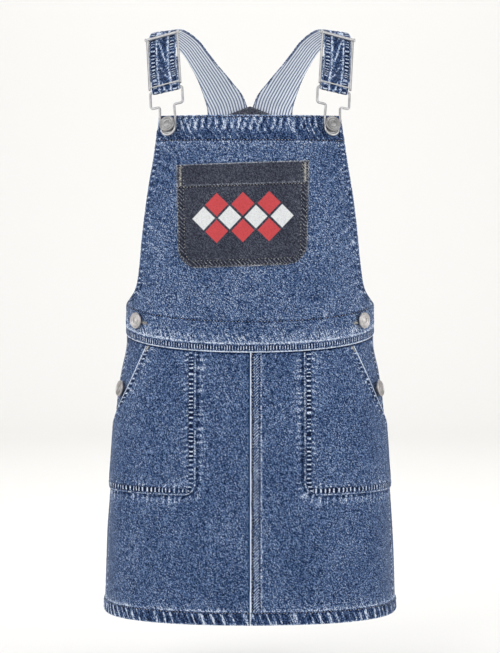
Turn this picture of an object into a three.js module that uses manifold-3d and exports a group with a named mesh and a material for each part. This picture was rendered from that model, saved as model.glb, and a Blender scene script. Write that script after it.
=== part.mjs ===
// A child's denim pinafore dress, filled out as it is worn, with nobody inside it.
// Millimetres, +Z up, the front towards -Y. The origin is midway between the two places
// where the straps rest on the shoulders.
import * as THREE from "three";
import { mergeVertices } from "three/addons/utils/BufferGeometryUtils.js";
import Module from "manifold-3d";

const wasm = await Module();
wasm.setup();

// Cloth
const cloth = 1.4; // one thickness of denim
const liningCloth = 1.0;
const seamGap = 0.3; // air between neighbouring pieces
const layGap = 0.65; // air between layers that lie on each other, because the walls have facets
const foldRise = 1.1; // what a turned hem or a felled seam adds
const pocketRise = 0.6; // what a patch pocket's turned edge adds
const foldRun = 0.8; // the slope at the edge of a rise

// Levels, all of them below the shoulders
const hemLevel = -636;
const hemHeight = 14;
const waistSide = -334; // the waist seam at the side seams
const waistDip = 17; // how much lower it runs at the centre front
const waistFell = 10;
const armholeLevel = -303;
const bibTop = -98.5;
const bibHem = 28;
const edgeHem = 9;
const backTop = -91;
const sideTurn = 1.536; // where the fronts end, as an angle round the figure from centre front
const centreFell = 12;

// Buttons
const buttonRadius = 8.8;
const shankRadius = 3.6;
const shankHeight = 3.2;
const waistButton = { across: 119, level: -318 };
const hipButton = { across: 136, level: -393 };
const waistButtonLean = 0.12; // how far the heads of the waist buttons are pulled to the front
const bibButton = { across: 84, level: -111 };

// The general figure that the cloth hangs on: a row for each level, with the half width, the depth
// in front of the shoulder line, the depth behind it, and how full the corners are.
const figure = [
  { level: -640, half: 158, front: 118, back: 113, full: 0.08 },
  { level: -572, half: 157, front: 116, back: 114, full: 0.08 },
  { level: -517, half: 154.5, front: 113, back: 114, full: 0.08 },
  { level: -462, half: 151, front: 109, back: 111, full: 0.08 },
  { level: -407, half: 145.5, front: 103, back: 101, full: 0.08 },
  { level: -375, half: 140, front: 96, back: 90, full: 0.09 },
  { level: -350, half: 134.5, front: 91, back: 82, full: 0.1 },
  { level: -330, half: 133.8, front: 90, back: 79, full: 0.1 },
  { level: -300, half: 133.5, front: 91, back: 79, full: 0.1 },
  { level: -250, half: 132.5, front: 95, back: 84, full: 0.1 },
  { level: -200, half: 132.5, front: 98, back: 89, full: 0.1 },
  { level: -150, half: 130.5, front: 94, back: 90, full: 0.1 },
  { level: -95, half: 125.5, front: 85, back: 85, full: 0.1 },
  { level: -60, half: 119, front: 76, back: 75, full: 0.1 },
];

// Where the side edges of the two bibs run: a row for each level.
const frontBibEdge = [
  { level: armholeLevel, turn: sideTurn },
  { level: -300.5, turn: 1.44 },
  { level: -295, turn: 1.28 },
  { level: -287, turn: 1.15 },
  { level: -274, turn: 1.08 },
  { level: -231, turn: 1.005 },
  { level: -188, turn: 0.93 },
  { level: -145, turn: 0.86 },
  { level: bibTop, turn: 0.818 },
];
const backBibEdge = [
  { level: armholeLevel, turn: sideTurn },
  { level: -299, turn: 1.4 },
  { level: -288, turn: 1.18 },
  { level: -262, turn: 0.97 },
  { level: -215, turn: 0.74 },
  { level: -165, turn: 0.57 },
  { level: -120, turn: 0.46 },
  { level: backTop, turn: 0.42 },
];

// Patch pockets
const chestPocket = {
  top: -149.5, bottom: -259, halfTop: 69.5, halfBottom: 67, corner: 21, band: 7, aside: -7.5, tilt: 0.035,
};
const hipPocket = { inner: 57, bottom: -501, corner: 14, band: 9, side: 1.52 };
const handOpening = { topAcross: 109, topLevel: -344, lowAcross: 151, lowLevel: -440 };

// The strip behind each side opening, with its side edges as turns
const placket = { bottom: -446, top: -307, first: 1.176, last: 1.656 };

// Straps: a row for each section from the chest, over the shoulder, to the back, for the strap on
// the +X side, with its middle, its width, and how far its outer edge leans back and down.
const strapSections = [
  { x: 93.7, y: -45, z: -48, back: 0.37, down: 0.1, width: 31.5 },
  { x: 95.2, y: -29, z: -19, back: 0.38, down: 0.03, width: 31.5 },
  { x: 94.4, y: -15.5, z: -5.6, back: 0.41, down: 0.02, width: 31.5 },
  { x: 88.8, y: 0, z: -2.2, back: 0.5, down: 0.1, width: 30.5 },
  { x: 79.5, y: 15, z: -6, back: 0.61, down: 0.26, width: 29.5 },
  { x: 67, y: 30, z: -15.5, back: 0.68, down: 0.38, width: 29 },
  { x: 57.3, y: 42, z: -28, back: 0.65, down: 0.4, width: 29.5 },
  { x: 48.8, y: 53, z: -40.5, back: 0.53, down: 0.38, width: 31 },
  { x: 41, y: 62, z: -52.5, back: 0.36, down: 0.36, width: 34 },
  { x: 34, y: 70, z: -65, back: 0.19, down: 0.33, width: 38.5 },
  { x: 28, y: 75, z: -77, back: 0.05, down: 0.3, width: 43.5 },
  { x: 25, y: 79, z: -88, back: 0, down: 0.27, width: 46.5 },
  { x: 23.5, y: 82, z: -100, back: 0, down: 0.24, width: 48 },
  { x: 22.5, y: 84, z: -114, back: 0, down: 0.22, width: 48.5 },
];
const strapStep = 9.5; // how far apart its sections are
const liningShare = 0.94; // of the strap's width
const returnSteps = 5; // sections of the turned-up end behind its front
const turnSteps = 6;
const hiddenLevel = -70; // below it the straps take up the shape of the back bib
const backPatch = { tip: -79, shoulderAcross: 47, shoulder: -97, bottom: -128 };

// Wire hardware
const hook = {
  wire: 1.3, halfWidth: 18.6, top: 42, shoulder: 22.5, halfNeck: 8.2, halfBowl: 8.8, bowl: 8,
  ring: 7.4, ringCentre: -4.2, corner: 3, stand: 6.6, webThickness: 1.3,
};
const hookForward = 0.3; // how far a hook faces the front instead of the way that the cloth does
const hookTwist = 0.07; // how far it hangs askew, outer side up
const adjuster = {
  wire: 1.3, bar: 1.7, knob: 2.4, crossWire: 0.8, halfWidth: 17.9, low: 4, high: 72.5, aside: -0.8,
  clear: 1.1, // air between the strap and its bars
  skew: 0.06, // how much its two bars lean against its rails
};
const wireSides = 6;

// Colours
const denim = new THREE.MeshStandardMaterial({ color: 0x51617f, roughness: 0.9, metalness: 0 });
const darkDenim = new THREE.MeshStandardMaterial({ color: 0x3c4252, roughness: 0.9, metalness: 0 });
const ticking = new THREE.MeshStandardMaterial({ color: 0xb4bcce, roughness: 0.85, metalness: 0 });
const nickel = new THREE.MeshStandardMaterial({ color: 0xb2b1b0, roughness: 0.35, metalness: 1 });

const dress = new THREE.Group();

function addPiece(name, geometry, material) {
  const mesh = new THREE.Mesh(geometry, material);
  mesh.name = name;
  dress.add(mesh);
}

// One column of a table at a level between its rows, as a smooth curve through them.
function read(table, column, level) {
  const rows = table[0].level < table[table.length - 1].level ? table : [...table].reverse();
  const last = rows.length - 1;
  if (level <= rows[0].level) return rows[0][column];
  if (level >= rows[last].level) return rows[last][column];
  const above = rows.findIndex((row) => row.level > level);
  const below = above - 1;
  const slope = (row) => {
    const from = rows[Math.max(row - 1, 0)];
    const to = rows[Math.min(row + 1, last)];
    return (to[column] - from[column]) / (to.level - from.level);
  };
  const span = rows[above].level - rows[below].level;
  const share = (level - rows[below].level) / span;
  const square = share * share;
  const cube = square * share;
  return rows[below][column] * (2 * cube - 3 * square + 1)
    + slope(below) * span * (cube - 2 * square + share)
    + rows[above][column] * (3 * square - 2 * cube)
    + slope(above) * span * (cube - square);
}

// The figure's surface: turn is the angle round it from centre front, positive towards +X.
function bareFigure(turn, level) {
  const across = Math.sin(turn);
  const along = Math.cos(turn);
  const full = read(figure, "full", level);
  const depth = read(figure, along > 0 ? "front" : "back", level);
  return new THREE.Vector3(
    read(figure, "half", level) * across * (1 + full * along * along),
    -depth * along * (1 + full * across * across),
    level,
  );
}

function figureNormal(turn, level) {
  const near = 0.002;
  const across = bareFigure(turn + near, level).sub(bareFigure(turn - near, level));
  const up = bareFigure(turn, level + 1).sub(bareFigure(turn, level - 1));
  return across.cross(up).normalize();
}

function onFigure(turn, level, out) {
  return bareFigure(turn, level).addScaledVector(figureNormal(turn, level), out);
}

// How many millimetres one radian of turn covers there.
function reach(turn, level) {
  const near = 0.002;
  return bareFigure(turn + near, level).distanceTo(bareFigure(turn - near, level)) / (2 * near);
}

// The turn at which the front of the figure lies that far to the side.
function turnAt(across, level) {
  let low = 0;
  let high = Math.PI / 2;
  while (high - low > 1e-5) {
    const middle = (low + high) / 2;
    if (bareFigure(middle, level).x < Math.abs(across)) low = middle;
    else high = middle;
  }
  return Math.sign(across) * low;
}

function waistSeam(turn) {
  return waistSide - waistDip * Math.max(Math.cos(turn), 0) ** 1.2;
}

// Stops along one side of a panel: plain ones in even steps, with a raised band at either end.
// Each has place(low, high, lowScale, highScale), the scales being millimetres to a unit there.
function stops(first, steps, last, bandSteps = 1) {
  const list = [];
  const low = first ? first + foldRun : 0;
  const high = last ? last + foldRun : 0;
  const fromLow = (mm, raised) => list.push({ raised, place: (a, b, sa = 1) => a + mm / sa });
  const fromHigh = (mm, raised) => list.push({ raised, place: (a, b, sa = 1, sb = 1) => b - mm / sb });
  if (first) for (let i = 0; i <= bandSteps; i++) fromLow((first * i) / bandSteps, true);
  for (let i = 0; i <= steps; i++) {
    const share = i / steps;
    list.push({
      raised: false,
      place: (a, b, sa = 1, sb = 1) => (a + low / sa) * (1 - share) + (b - high / sb) * share,
    });
  }
  if (last) for (let i = bandSteps; i >= 0; i--) fromHigh((last * i) / bandSteps, true);
  return list;
}

// A closed wall between two grids of points, [row][column], its quads split the shorter way.
function slab(inside, outside) {
  const rows = inside.length;
  const columns = inside[0].length;
  const positions = [];
  [...inside.flat(), ...outside.flat()].forEach((p) => positions.push(p.x, p.y, p.z));
  const index = [];
  const at = (side, row, column) => (side * rows + row) * columns + column;
  const corner = (i) => new THREE.Vector3().fromArray(positions, 3 * i);
  const quad = (a, b, c, d) => {
    const plain = corner(a).distanceTo(corner(c)) <= corner(b).distanceTo(corner(d));
    if (plain) index.push(a, b, c, a, c, d);
    else index.push(a, b, d, b, c, d);
  };
  for (let r = 0; r < rows - 1; r++) {
    for (let c = 0; c < columns - 1; c++) {
      quad(at(1, r, c), at(1, r, c + 1), at(1, r + 1, c + 1), at(1, r + 1, c));
      quad(at(0, r, c), at(0, r + 1, c), at(0, r + 1, c + 1), at(0, r, c + 1));
    }
    quad(at(0, r, 0), at(1, r, 0), at(1, r + 1, 0), at(0, r + 1, 0));
    quad(at(1, r, columns - 1), at(0, r, columns - 1), at(0, r + 1, columns - 1), at(1, r + 1, columns - 1));
  }
  for (let c = 0; c < columns - 1; c++) {
    quad(at(0, 0, c), at(0, 0, c + 1), at(1, 0, c + 1), at(1, 0, c));
    quad(at(1, rows - 1, c), at(1, rows - 1, c + 1), at(0, rows - 1, c + 1), at(0, rows - 1, c));
  }
  return facingOut(positions, index);
}

// A geometry from positions and triangles, turned round if its faces look inwards.
function facingOut(positions, index) {
  const corner = (i) => new THREE.Vector3().fromArray(positions, 3 * index[i]);
  let volume = 0;
  for (let i = 0; i < index.length; i += 3) {
    volume += corner(i).dot(corner(i + 1).cross(corner(i + 2)));
  }
  if (volume < 0) {
    for (let i = 0; i < index.length; i += 3) [index[i], index[i + 1]] = [index[i + 1], index[i]];
  }
  return new THREE.BufferGeometry()
    .setAttribute("position", new THREE.BufferAttribute(new Float32Array(positions), 3))
    .setIndex(index);
}

// A panel of cloth on the figure. left and right give its edges as turns at a level, bottom and
// top its edges as levels at a turn. It lies out from the figure, and its raised stops are thicker.
function panel({ columns, rows, left, right, bottom, top, out = 0, thickness = cloth, rise = foldRise }) {
  const inside = [];
  const outside = [];
  for (const row of rows) {
    const edges = [left, right].map((edge) => {
      let turn = edge(row.place(bottom(0), top(0)));
      for (let i = 0; i < 8; i++) turn = edge(row.place(bottom(turn), top(turn)));
      const level = row.place(bottom(turn), top(turn));
      return { turn, scale: reach(turn, level) };
    });
    const points = columns.map((column) => {
      const turn = column.place(edges[0].turn, edges[1].turn, edges[0].scale, edges[1].scale);
      const level = row.place(bottom(turn), top(turn));
      const raise = row.raised || column.raised ? rise : 0;
      return [onFigure(turn, level, out), onFigure(turn, level, out + thickness + raise)];
    });
    inside.push(points.map((pair) => pair[0]));
    outside.push(points.map((pair) => pair[1]));
  }
  return slab(inside, outside);
}

function asSolid(geometry) {
  const bare = new THREE.BufferGeometry().setAttribute("position", geometry.getAttribute("position"));
  bare.setIndex(geometry.index);
  const merged = mergeVertices(bare, 1e-4);
  return new wasm.Manifold(new wasm.Mesh({
    numProp: 3,
    vertProperties: merged.getAttribute("position").array,
    triVerts: new Uint32Array(merged.index.array),
  }));
}

function asGeometry(solid) {
  const mesh = solid.getMesh();
  return new THREE.BufferGeometry()
    .setAttribute("position", new THREE.BufferAttribute(new Float32Array(mesh.vertProperties), 3))
    .setIndex(new THREE.BufferAttribute(new Uint32Array(mesh.triVerts), 1));
}

// The frame of a button on the +X side: its foot on the cloth, across it, up it and out of it.
function buttonFrame({ across, level }, out) {
  const turn = turnAt(across, level);
  const normal = figureNormal(turn, level);
  const away = new THREE.Vector3(0, 0, 1).cross(normal).normalize();
  const up = normal.clone().cross(away);
  return new THREE.Matrix4().makeBasis(away, up, normal).setPosition(onFigure(turn, level, out));
}

// A tack button: a shank that stands on the cloth, which may slope away from it, and a slightly
// domed head with a rolled rim.
function button(frame, head, slope = 0) {
  const foot = seamGap + shankRadius * Math.tan(slope);
  const profile = [
    [0, foot], [shankRadius, foot], [shankRadius, head], [buttonRadius - 0.6, head],
    [buttonRadius, head + 0.7], [buttonRadius, head + 1.9], [buttonRadius - 1, head + 2.6],
    [buttonRadius - 2, head + 2.1], [0, head + 2.5],
  ];
  const geometry = new THREE.LatheGeometry(profile.map(([x, y]) => new THREE.Vector2(x, y)), 16);
  return geometry.rotateX(Math.PI / 2).applyMatrix4(frame);
}

// A round wire along a closed line of points.
function wireLoop(points, radius) {
  const count = points.length;
  const positions = [];
  const index = [];
  const flat = new THREE.Vector3(0, 0, 1);
  points.forEach((point, i) => {
    const ahead = points[(i + 1) % count].clone().sub(points[(i + count - 1) % count]).normalize();
    const aside = flat.clone().cross(ahead);
    for (let s = 0; s < wireSides; s++) {
      const angle = (2 * Math.PI * s) / wireSides;
      const p = point.clone()
        .addScaledVector(aside, radius * Math.cos(angle))
        .addScaledVector(flat, radius * Math.sin(angle));
      positions.push(p.x, p.y, p.z);
      const next = (i + 1) % count;
      const turn = (s + 1) % wireSides;
      const [a, b] = [i * wireSides + s, i * wireSides + turn];
      const [c, d] = [next * wireSides + turn, next * wireSides + s];
      index.push(a, b, c, a, c, d);
    }
  });
  return facingOut(positions, index);
}

// Points round a corner of a flat outline, from the way it comes in to the way it goes out.
function rounded(corners, radius, steps = 3) {
  const line = [];
  corners.forEach((corner, i) => {
    const before = corners[(i + corners.length - 1) % corners.length];
    const after = corners[(i + 1) % corners.length];
    const size = corner.sharp ? 0 : radius;
    if (!size) {
      line.push(new THREE.Vector3(corner.x, corner.y, 0));
      return;
    }
    const here = new THREE.Vector2(corner.x, corner.y);
    const start = new THREE.Vector2(before.x, before.y).sub(here).setLength(size).add(here);
    const end = new THREE.Vector2(after.x, after.y).sub(here).setLength(size).add(here);
    const bend = new THREE.QuadraticBezierCurve(start, here, end);
    bend.getPoints(steps).forEach((p) => line.push(new THREE.Vector3(p.x, p.y, 0)));
  });
  return line;
}

// The hook in its own frame: x across, y up, z out, with the button's axis at the origin.
function hookGeometry() {
  const { halfWidth, top, shoulder, halfNeck, halfBowl, bowl, ring, ringCentre, wire } = hook;
  const round = [];
  for (let i = 0; i <= 10; i++) {
    const angle = (-Math.PI * i) / 10;
    round.push({ x: ring * Math.cos(angle), y: ringCentre + ring * Math.sin(angle), sharp: true });
  }
  const corners = [
    { x: -halfNeck, y: shoulder }, { x: -halfWidth, y: shoulder }, { x: -halfWidth, y: top },
    { x: halfWidth, y: top }, { x: halfWidth, y: shoulder }, { x: halfNeck, y: shoulder },
    { x: halfBowl, y: bowl, sharp: true }, ...round, { x: -halfBowl, y: bowl, sharp: true },
  ];
  const loop = asSolid(wireLoop(rounded(corners, hook.corner), wire));
  const web = new THREE.Shape();
  web.absarc(0, ringCentre, ring, Math.PI, 2 * Math.PI, false);
  web.lineTo(shankRadius + 0.5, ringCentre);
  web.absarc(0, ringCentre, shankRadius + 0.5, 0, Math.PI, true);
  web.closePath();
  const plate = new THREE.ExtrudeGeometry(web, {
    depth: hook.webThickness, bevelEnabled: false, curveSegments: 10,
  }).translate(0, 0, -hook.webThickness / 2);
  return asGeometry(loop.add(asSolid(plate)));
}

// The adjuster in its own frame, with its bar at the top: x across, y up, z out.
function adjusterGeometry(length) {
  const { halfWidth, wire, bar, knob, crossWire } = adjuster;
  const lying = (geometry, y) => geometry.rotateZ(Math.PI / 2).translate(0, y, 0);
  const pieces = [
    lying(new THREE.CylinderGeometry(bar, bar, 2 * halfWidth, 10), 0),
    lying(new THREE.CylinderGeometry(crossWire, crossWire, 2 * halfWidth, 8), -length),
  ];
  for (const side of [-1, 1]) {
    pieces.push(new THREE.CylinderGeometry(wire, wire, length + 3, 8)
      .translate(side * halfWidth, -(length + 3) / 2, 0));
    pieces.push(new THREE.SphereGeometry(knob, 10, 6).translate(side * (halfWidth + 0.6), 0, 0));
  }
  return asGeometry(pieces.map(asSolid).reduce((whole, piece) => whole.add(piece)));
}

// A strap's middle line, from the bar of the hook. at gives its section that many millimetres on.
function strapLine(hookFrame) {
  const across = new THREE.Vector3().setFromMatrixColumn(hookFrame, 0);
  const up = new THREE.Vector3().setFromMatrixColumn(hookFrame, 1);
  const bend = hook.wire + seamGap + 0.1 + cloth / 2;
  const first = new THREE.Vector3(0, hook.top, bend).applyMatrix4(hookFrame);
  const { width } = strapSections[0];
  const rows = [
    { point: first, across, width },
    { point: first.clone().addScaledVector(up, 10), across, width },
    ...strapSections.map((row) => ({
      point: new THREE.Vector3(row.x, row.y, row.z),
      across: new THREE.Vector3(Math.sqrt(1 - row.back ** 2 - row.down ** 2), row.back, -row.down),
      width: row.width,
    })),
  ];
  const curve = new THREE.CatmullRomCurve3(rows.map((row) => row.point), false, "centripetal");
  const length = curve.getLength();
  const at = (distance) => {
    const share = curve.getUtoTmapping(0, Math.min(distance, length));
    const place = share * (rows.length - 1);
    const row = Math.min(Math.floor(place), rows.length - 2);
    const part = place - row;
    const ahead = distance ? curve.getTangent(share).normalize() : up.clone();
    const aside = rows[row].across.clone().lerp(rows[row + 1].across, part);
    aside.addScaledVector(ahead, -aside.dot(ahead)).normalize();
    return {
      point: curve.getPoint(share),
      ahead,
      across: aside,
      look: aside.clone().cross(ahead),
      width: rows[row].width * (1 - part) + rows[row + 1].width * part,
    };
  };
  return { at, bend, length };
}

// A point of a strap: across runs from -1 to 1 over its width, and out from its middle layer.
function strapPoint(section, share, out) {
  const p = section.point.clone()
    .addScaledVector(section.across, (share * section.width) / 2)
    .addScaledVector(section.look, out);
  p.x = Math.max(p.x, (1 - Math.min(share, 0)) * 0.5 * seamGap);
  const settle = THREE.MathUtils.smoothstep(-p.z, -hiddenLevel, -hiddenLevel + 16);
  if (settle > 0 && p.y > 0) {
    const turn = Math.PI - turnAt(p.x, p.z);
    const behind = onFigure(turn, p.z, out - seamGap - cloth / 2);
    p.y += (behind.y - p.y) * settle;
  }
  return p;
}

function strapSheet(sections, shares, inside, outside) {
  const layer = (out) => sections.map((section) => shares.map((share) => strapPoint(section, share, out)));
  return slab(layer(inside), layer(outside));
}

function strapRun(line) {
  const steps = Math.round(line.length / strapStep);
  return Array.from({ length: steps + 1 }, (_, i) => line.at((line.length * i) / steps));
}

// The strap's denim: up behind the front stretch, round the hook's bar, and over the shoulder.
function strapGeometry(line) {
  const run = strapRun(line);
  const start = run[0];
  const centre = start.point.clone().addScaledVector(start.look, -line.bend);
  const returned = run.slice(1, returnSteps + 1).reverse().map((section) => ({
    ...section,
    point: section.point.clone().addScaledVector(section.look, -2 * line.bend),
    look: section.look.clone().negate(),
  }));
  const fold = Array.from({ length: turnSteps }, (_, i) => {
    const angle = (Math.PI * i) / turnSteps;
    const look = start.look.clone().multiplyScalar(-Math.cos(angle))
      .addScaledVector(start.ahead, -Math.sin(angle));
    return { ...start, look, point: centre.clone().addScaledVector(look, line.bend) };
  });
  return strapSheet([...returned, ...fold, ...run], [-1, -0.5, 0, 0.5, 1], -cloth / 2, cloth / 2);
}

// The striped lining, on the strap's inner face from above the turned-up end to the back facing.
function liningGeometry(line) {
  const outer = -cloth / 2 - seamGap;
  const sections = strapRun(line).slice(returnSteps + 1);
  const shares = [-1, -0.5, 0, 0.5, 1].map((share) => share * liningShare);
  return strapSheet(sections, shares, outer - liningCloth, outer);
}

const mirrored = (geometry) => asGeometry(asSolid(geometry).mirror([1, 0, 0]));
const bothSides = (name, geometry, material) => {
  addPiece(`${name}_right`, geometry, material);
  addPiece(`${name}_left`, mirrored(geometry), material);
};

// Skirt
const skirtRows = stops(hemHeight, 11, 0);
const belowWaist = (turn) => waistSeam(turn) - seamGap / 2;
const overHem = () => hemLevel;
const sliver = (level) => seamGap / 2 / reach(0, level);
addPiece("skirt_front_right", panel({
  columns: stops(centreFell, 16, 0), rows: skirtRows, bottom: overHem, top: belowWaist,
  left: sliver, right: () => sideTurn,
}), denim);
addPiece("skirt_front_left", panel({
  columns: stops(0, 17, 0), rows: skirtRows, bottom: overHem, top: belowWaist,
  left: () => -sideTurn, right: (level) => -sliver(level),
}), denim);
const backSeam = (level) => sideTurn + seamGap / reach(sideTurn, level);
addPiece("skirt_back", panel({
  columns: stops(0, 32, 0), rows: skirtRows, bottom: overHem, top: belowWaist,
  left: backSeam, right: (level) => 2 * Math.PI - backSeam(level),
}), denim);

// Bibs
const aboveWaist = (turn) => waistSeam(turn) + seamGap / 2;
addPiece("bib_front", panel({
  columns: stops(edgeHem, 28, edgeHem), rows: stops(waistFell, 12, bibHem), bottom: aboveWaist,
  top: () => bibTop,
  left: (level) => -read(frontBibEdge, "turn", level), right: (level) => read(frontBibEdge, "turn", level),
}), denim);
const backEdge = (level) => Math.min(read(backBibEdge, "turn", level), Math.PI - backSeam(level));
addPiece("bib_back", panel({
  columns: stops(edgeHem, 22, edgeHem), rows: stops(waistFell, 12, edgeHem), bottom: aboveWaist,
  top: () => backTop,
  left: (level) => Math.PI - backEdge(level), right: (level) => Math.PI + backEdge(level),
}), denim);

// Patch pockets
const cornered = (edge, level, { bottom, corner }) => {
  const depth = Math.max(corner - (level - bottom), 0);
  return edge + corner - Math.sqrt(Math.max(corner * corner - depth * depth, 0));
};
const onCloth = cloth + layGap;
const chestEdge = (side) => (level) => {
  const { top, bottom, halfTop, halfBottom, aside, tilt } = chestPocket;
  const middle = level - tilt * side * halfTop;
  const half = THREE.MathUtils.mapLinear(middle, bottom, top, halfBottom, halfTop);
  return turnAt(aside - side * cornered(-half, middle, chestPocket), level);
};
const chestLevel = (level) => (turn) => {
  return level + chestPocket.tilt * (bareFigure(turn, level).x - chestPocket.aside);
};
addPiece("chest_pocket", panel({
  columns: stops(chestPocket.band, 10, chestPocket.band), rows: stops(chestPocket.band, 9, chestPocket.band, 3),
  bottom: chestLevel(chestPocket.bottom), top: chestLevel(chestPocket.top), out: onCloth, rise: pocketRise,
  left: chestEdge(-1), right: chestEdge(1),
}), darkDenim);
const slant = (level) => {
  const { topAcross, topLevel, lowAcross, lowLevel } = handOpening;
  if (level < lowLevel) return hipPocket.side;
  const across = THREE.MathUtils.mapLinear(level, lowLevel, topLevel, lowAcross, topAcross);
  return Math.min(turnAt(across, level), hipPocket.side);
};
bothSides("hip_pocket", panel({
  columns: stops(hipPocket.band, 11, hipPocket.band), rows: stops(hipPocket.band, 9, 0, 3),
  bottom: () => hipPocket.bottom, top: (turn) => waistSeam(turn) - 2, out: onCloth, rise: pocketRise,
  left: (level) => turnAt(cornered(hipPocket.inner, level, hipPocket), level), right: slant,
}), denim);

// The strip of the back that lies under each side opening and carries its two buttons
bothSides("side_placket", panel({
  columns: stops(0, 6, 0), rows: stops(0, 9, 0), bottom: () => placket.bottom, top: () => placket.top,
  out: -layGap - cloth, left: () => placket.first, right: () => placket.last,
}), denim);

// Straps, their lining and hardware
const bibFace = cloth + foldRise;
const tack = new THREE.Vector3().setFromMatrixPosition(buttonFrame(bibButton, bibFace));
const pull = new THREE.Vector3(strapSections[0].x, strapSections[0].y, strapSections[0].z);
const hookUp = pull.sub(tack).normalize();
const clothLook = figureNormal(turnAt(bibButton.across, bibButton.level), bibButton.level);
const hookLook = clothLook.clone().lerp(new THREE.Vector3(0, -1, 0), hookForward);
hookLook.addScaledVector(hookUp, -hookLook.dot(hookUp)).normalize();
hookUp.applyAxisAngle(hookLook, hookTwist);
const tackFrame = new THREE.Matrix4()
  .makeBasis(hookUp.clone().cross(hookLook), hookUp, hookLook).setPosition(tack);
const hookFrame = tackFrame.clone().multiply(new THREE.Matrix4().makeTranslation(0, 0, hook.stand));
const line = strapLine(hookFrame);
bothSides("strap", strapGeometry(line), denim);
bothSides("strap_lining", liningGeometry(line), ticking);
bothSides("hook", hookGeometry().applyMatrix4(hookFrame), nickel);
const held = (distance, radius) => {
  const section = line.at(distance);
  return section.point.addScaledVector(section.look, cloth / 2 + adjuster.clear + radius)
    .addScaledVector(section.across, adjuster.aside);
};
const barPlace = held(adjuster.high, adjuster.bar);
const rails = barPlace.clone().sub(held(adjuster.low, adjuster.crossWire));
const railLength = rails.length();
rails.normalize();
const barAcross = line.at((adjuster.high + adjuster.low) / 2).across;
barAcross.addScaledVector(rails, adjuster.skew - barAcross.dot(rails)).normalize();
const adjusterFrame = new THREE.Matrix4()
  .makeBasis(barAcross, rails, barAcross.clone().cross(rails).normalize()).setPosition(barPlace);
bothSides("adjuster", adjusterGeometry(railLength).applyMatrix4(adjusterFrame), nickel);

// The facing that holds the straps together inside the back
addPiece("back_patch", panel({
  columns: stops(0, 8, 0), rows: stops(0, 4, 0), bottom: () => backPatch.bottom,
  top: (turn) => {
    const across = Math.abs(bareFigure(turn, backPatch.shoulder).x);
    const share = Math.min(across / backPatch.shoulderAcross, 1);
    return backPatch.tip + (backPatch.shoulder - backPatch.tip) * share;
  },
  left: (level) => Math.PI - turnAt(backPatch.shoulderAcross, level),
  right: (level) => Math.PI + turnAt(backPatch.shoulderAcross, level),
  out: -2 * seamGap - layGap - 2 * cloth - liningCloth,
}), darkDenim);

// Buttons
const overHook = hook.stand + hook.wire + seamGap;
bothSides("button_bib", button(tackFrame, overHook, hookLook.angleTo(clothLook)), nickel);
const waistFrame = buttonFrame(waistButton, cloth)
  .multiply(new THREE.Matrix4().makeRotationY(-waistButtonLean));
bothSides("button_waist", button(waistFrame, shankHeight, waistButtonLean), nickel);
bothSides("button_hip", button(buttonFrame(hipButton, cloth), shankHeight), nickel);

export default dress;
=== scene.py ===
import bpy
import numpy as np
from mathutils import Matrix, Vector


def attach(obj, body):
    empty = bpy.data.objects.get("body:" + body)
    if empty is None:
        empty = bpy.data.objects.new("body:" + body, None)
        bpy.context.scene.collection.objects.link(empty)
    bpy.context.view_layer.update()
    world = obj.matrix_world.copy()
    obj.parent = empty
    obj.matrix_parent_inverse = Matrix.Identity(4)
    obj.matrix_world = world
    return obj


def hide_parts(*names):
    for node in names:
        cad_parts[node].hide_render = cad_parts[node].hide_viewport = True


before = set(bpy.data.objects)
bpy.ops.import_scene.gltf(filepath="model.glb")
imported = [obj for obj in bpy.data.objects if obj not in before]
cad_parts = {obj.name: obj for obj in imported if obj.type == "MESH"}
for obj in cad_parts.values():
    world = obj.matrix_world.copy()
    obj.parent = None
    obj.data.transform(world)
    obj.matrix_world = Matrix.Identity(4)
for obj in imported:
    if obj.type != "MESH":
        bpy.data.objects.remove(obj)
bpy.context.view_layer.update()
print("frame loaded")


# Rows of values under the names of their columns
def table(names, *rows):
    return [dict(zip(names.split(), row)) for row in rows]


# Lengths are millimetres until they reach a mesh.
metre = 0.001
cloth = dict(thick=1.4, lining=1.0, seamGap=0.3, layGap=0.65, foldRise=1.1, pocketRise=0.6)
spacing = dict(front=1.5, back=2.4, fine=1.25)  # how far apart the points of a piece are
levels = dict(hem=-636, waistSide=-334, waistDip=17, bibTop=-98.5, backTop=-91)
widths = dict(hem=14, waistFell=10, bibHem=28, edgeHem=9, centreFell=12)
# The rows of a double seam from its edge, how far those at the sides lie to the front, and the rows
# of the seam at centre front
seam = dict(near=1.9, far=7.4, sideIn=13)
doubleRows, fellRows = (seam["near"], seam["far"]), (2.3, 10.0)
sideTurn, smallTurn = 1.536, 0.002
bothSides = ((1, "right"), (-1, "left"))

# The figure that the cloth hangs on, as the solids have it
figure = table(
    "level half front back full",
    (-640, 158, 118, 113, 0.08), (-572, 157, 116, 114, 0.08), (-517, 154.5, 113, 114, 0.08),
    (-462, 151, 109, 111, 0.08), (-407, 145.5, 103, 101, 0.08), (-375, 140, 96, 90, 0.09),
    (-350, 134.5, 91, 82, 0.1), (-330, 133.8, 90, 79, 0.1), (-300, 133.5, 91, 79, 0.1),
    (-250, 132.5, 95, 84, 0.1), (-200, 132.5, 98, 89, 0.1), (-150, 130.5, 94, 90, 0.1),
    (-95, 125.5, 85, 85, 0.1), (-60, 119, 76, 75, 0.1))
frontBibEdge = table(
    "level turn", (-303, 1.536), (-300.5, 1.44), (-295, 1.28), (-287, 1.15), (-274, 1.08),
    (-231, 1.005), (-188, 0.93), (-145, 0.86), (-98.5, 0.818))
backBibEdge = table(
    "level turn", (-303, 1.536), (-299, 1.4), (-288, 1.18), (-262, 0.97), (-215, 0.74),
    (-165, 0.57), (-120, 0.46), (-91, 0.42))


def smooth(x):
    x = np.clip(x, 0, 1)
    return x * x * (3 - 2 * x)


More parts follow.
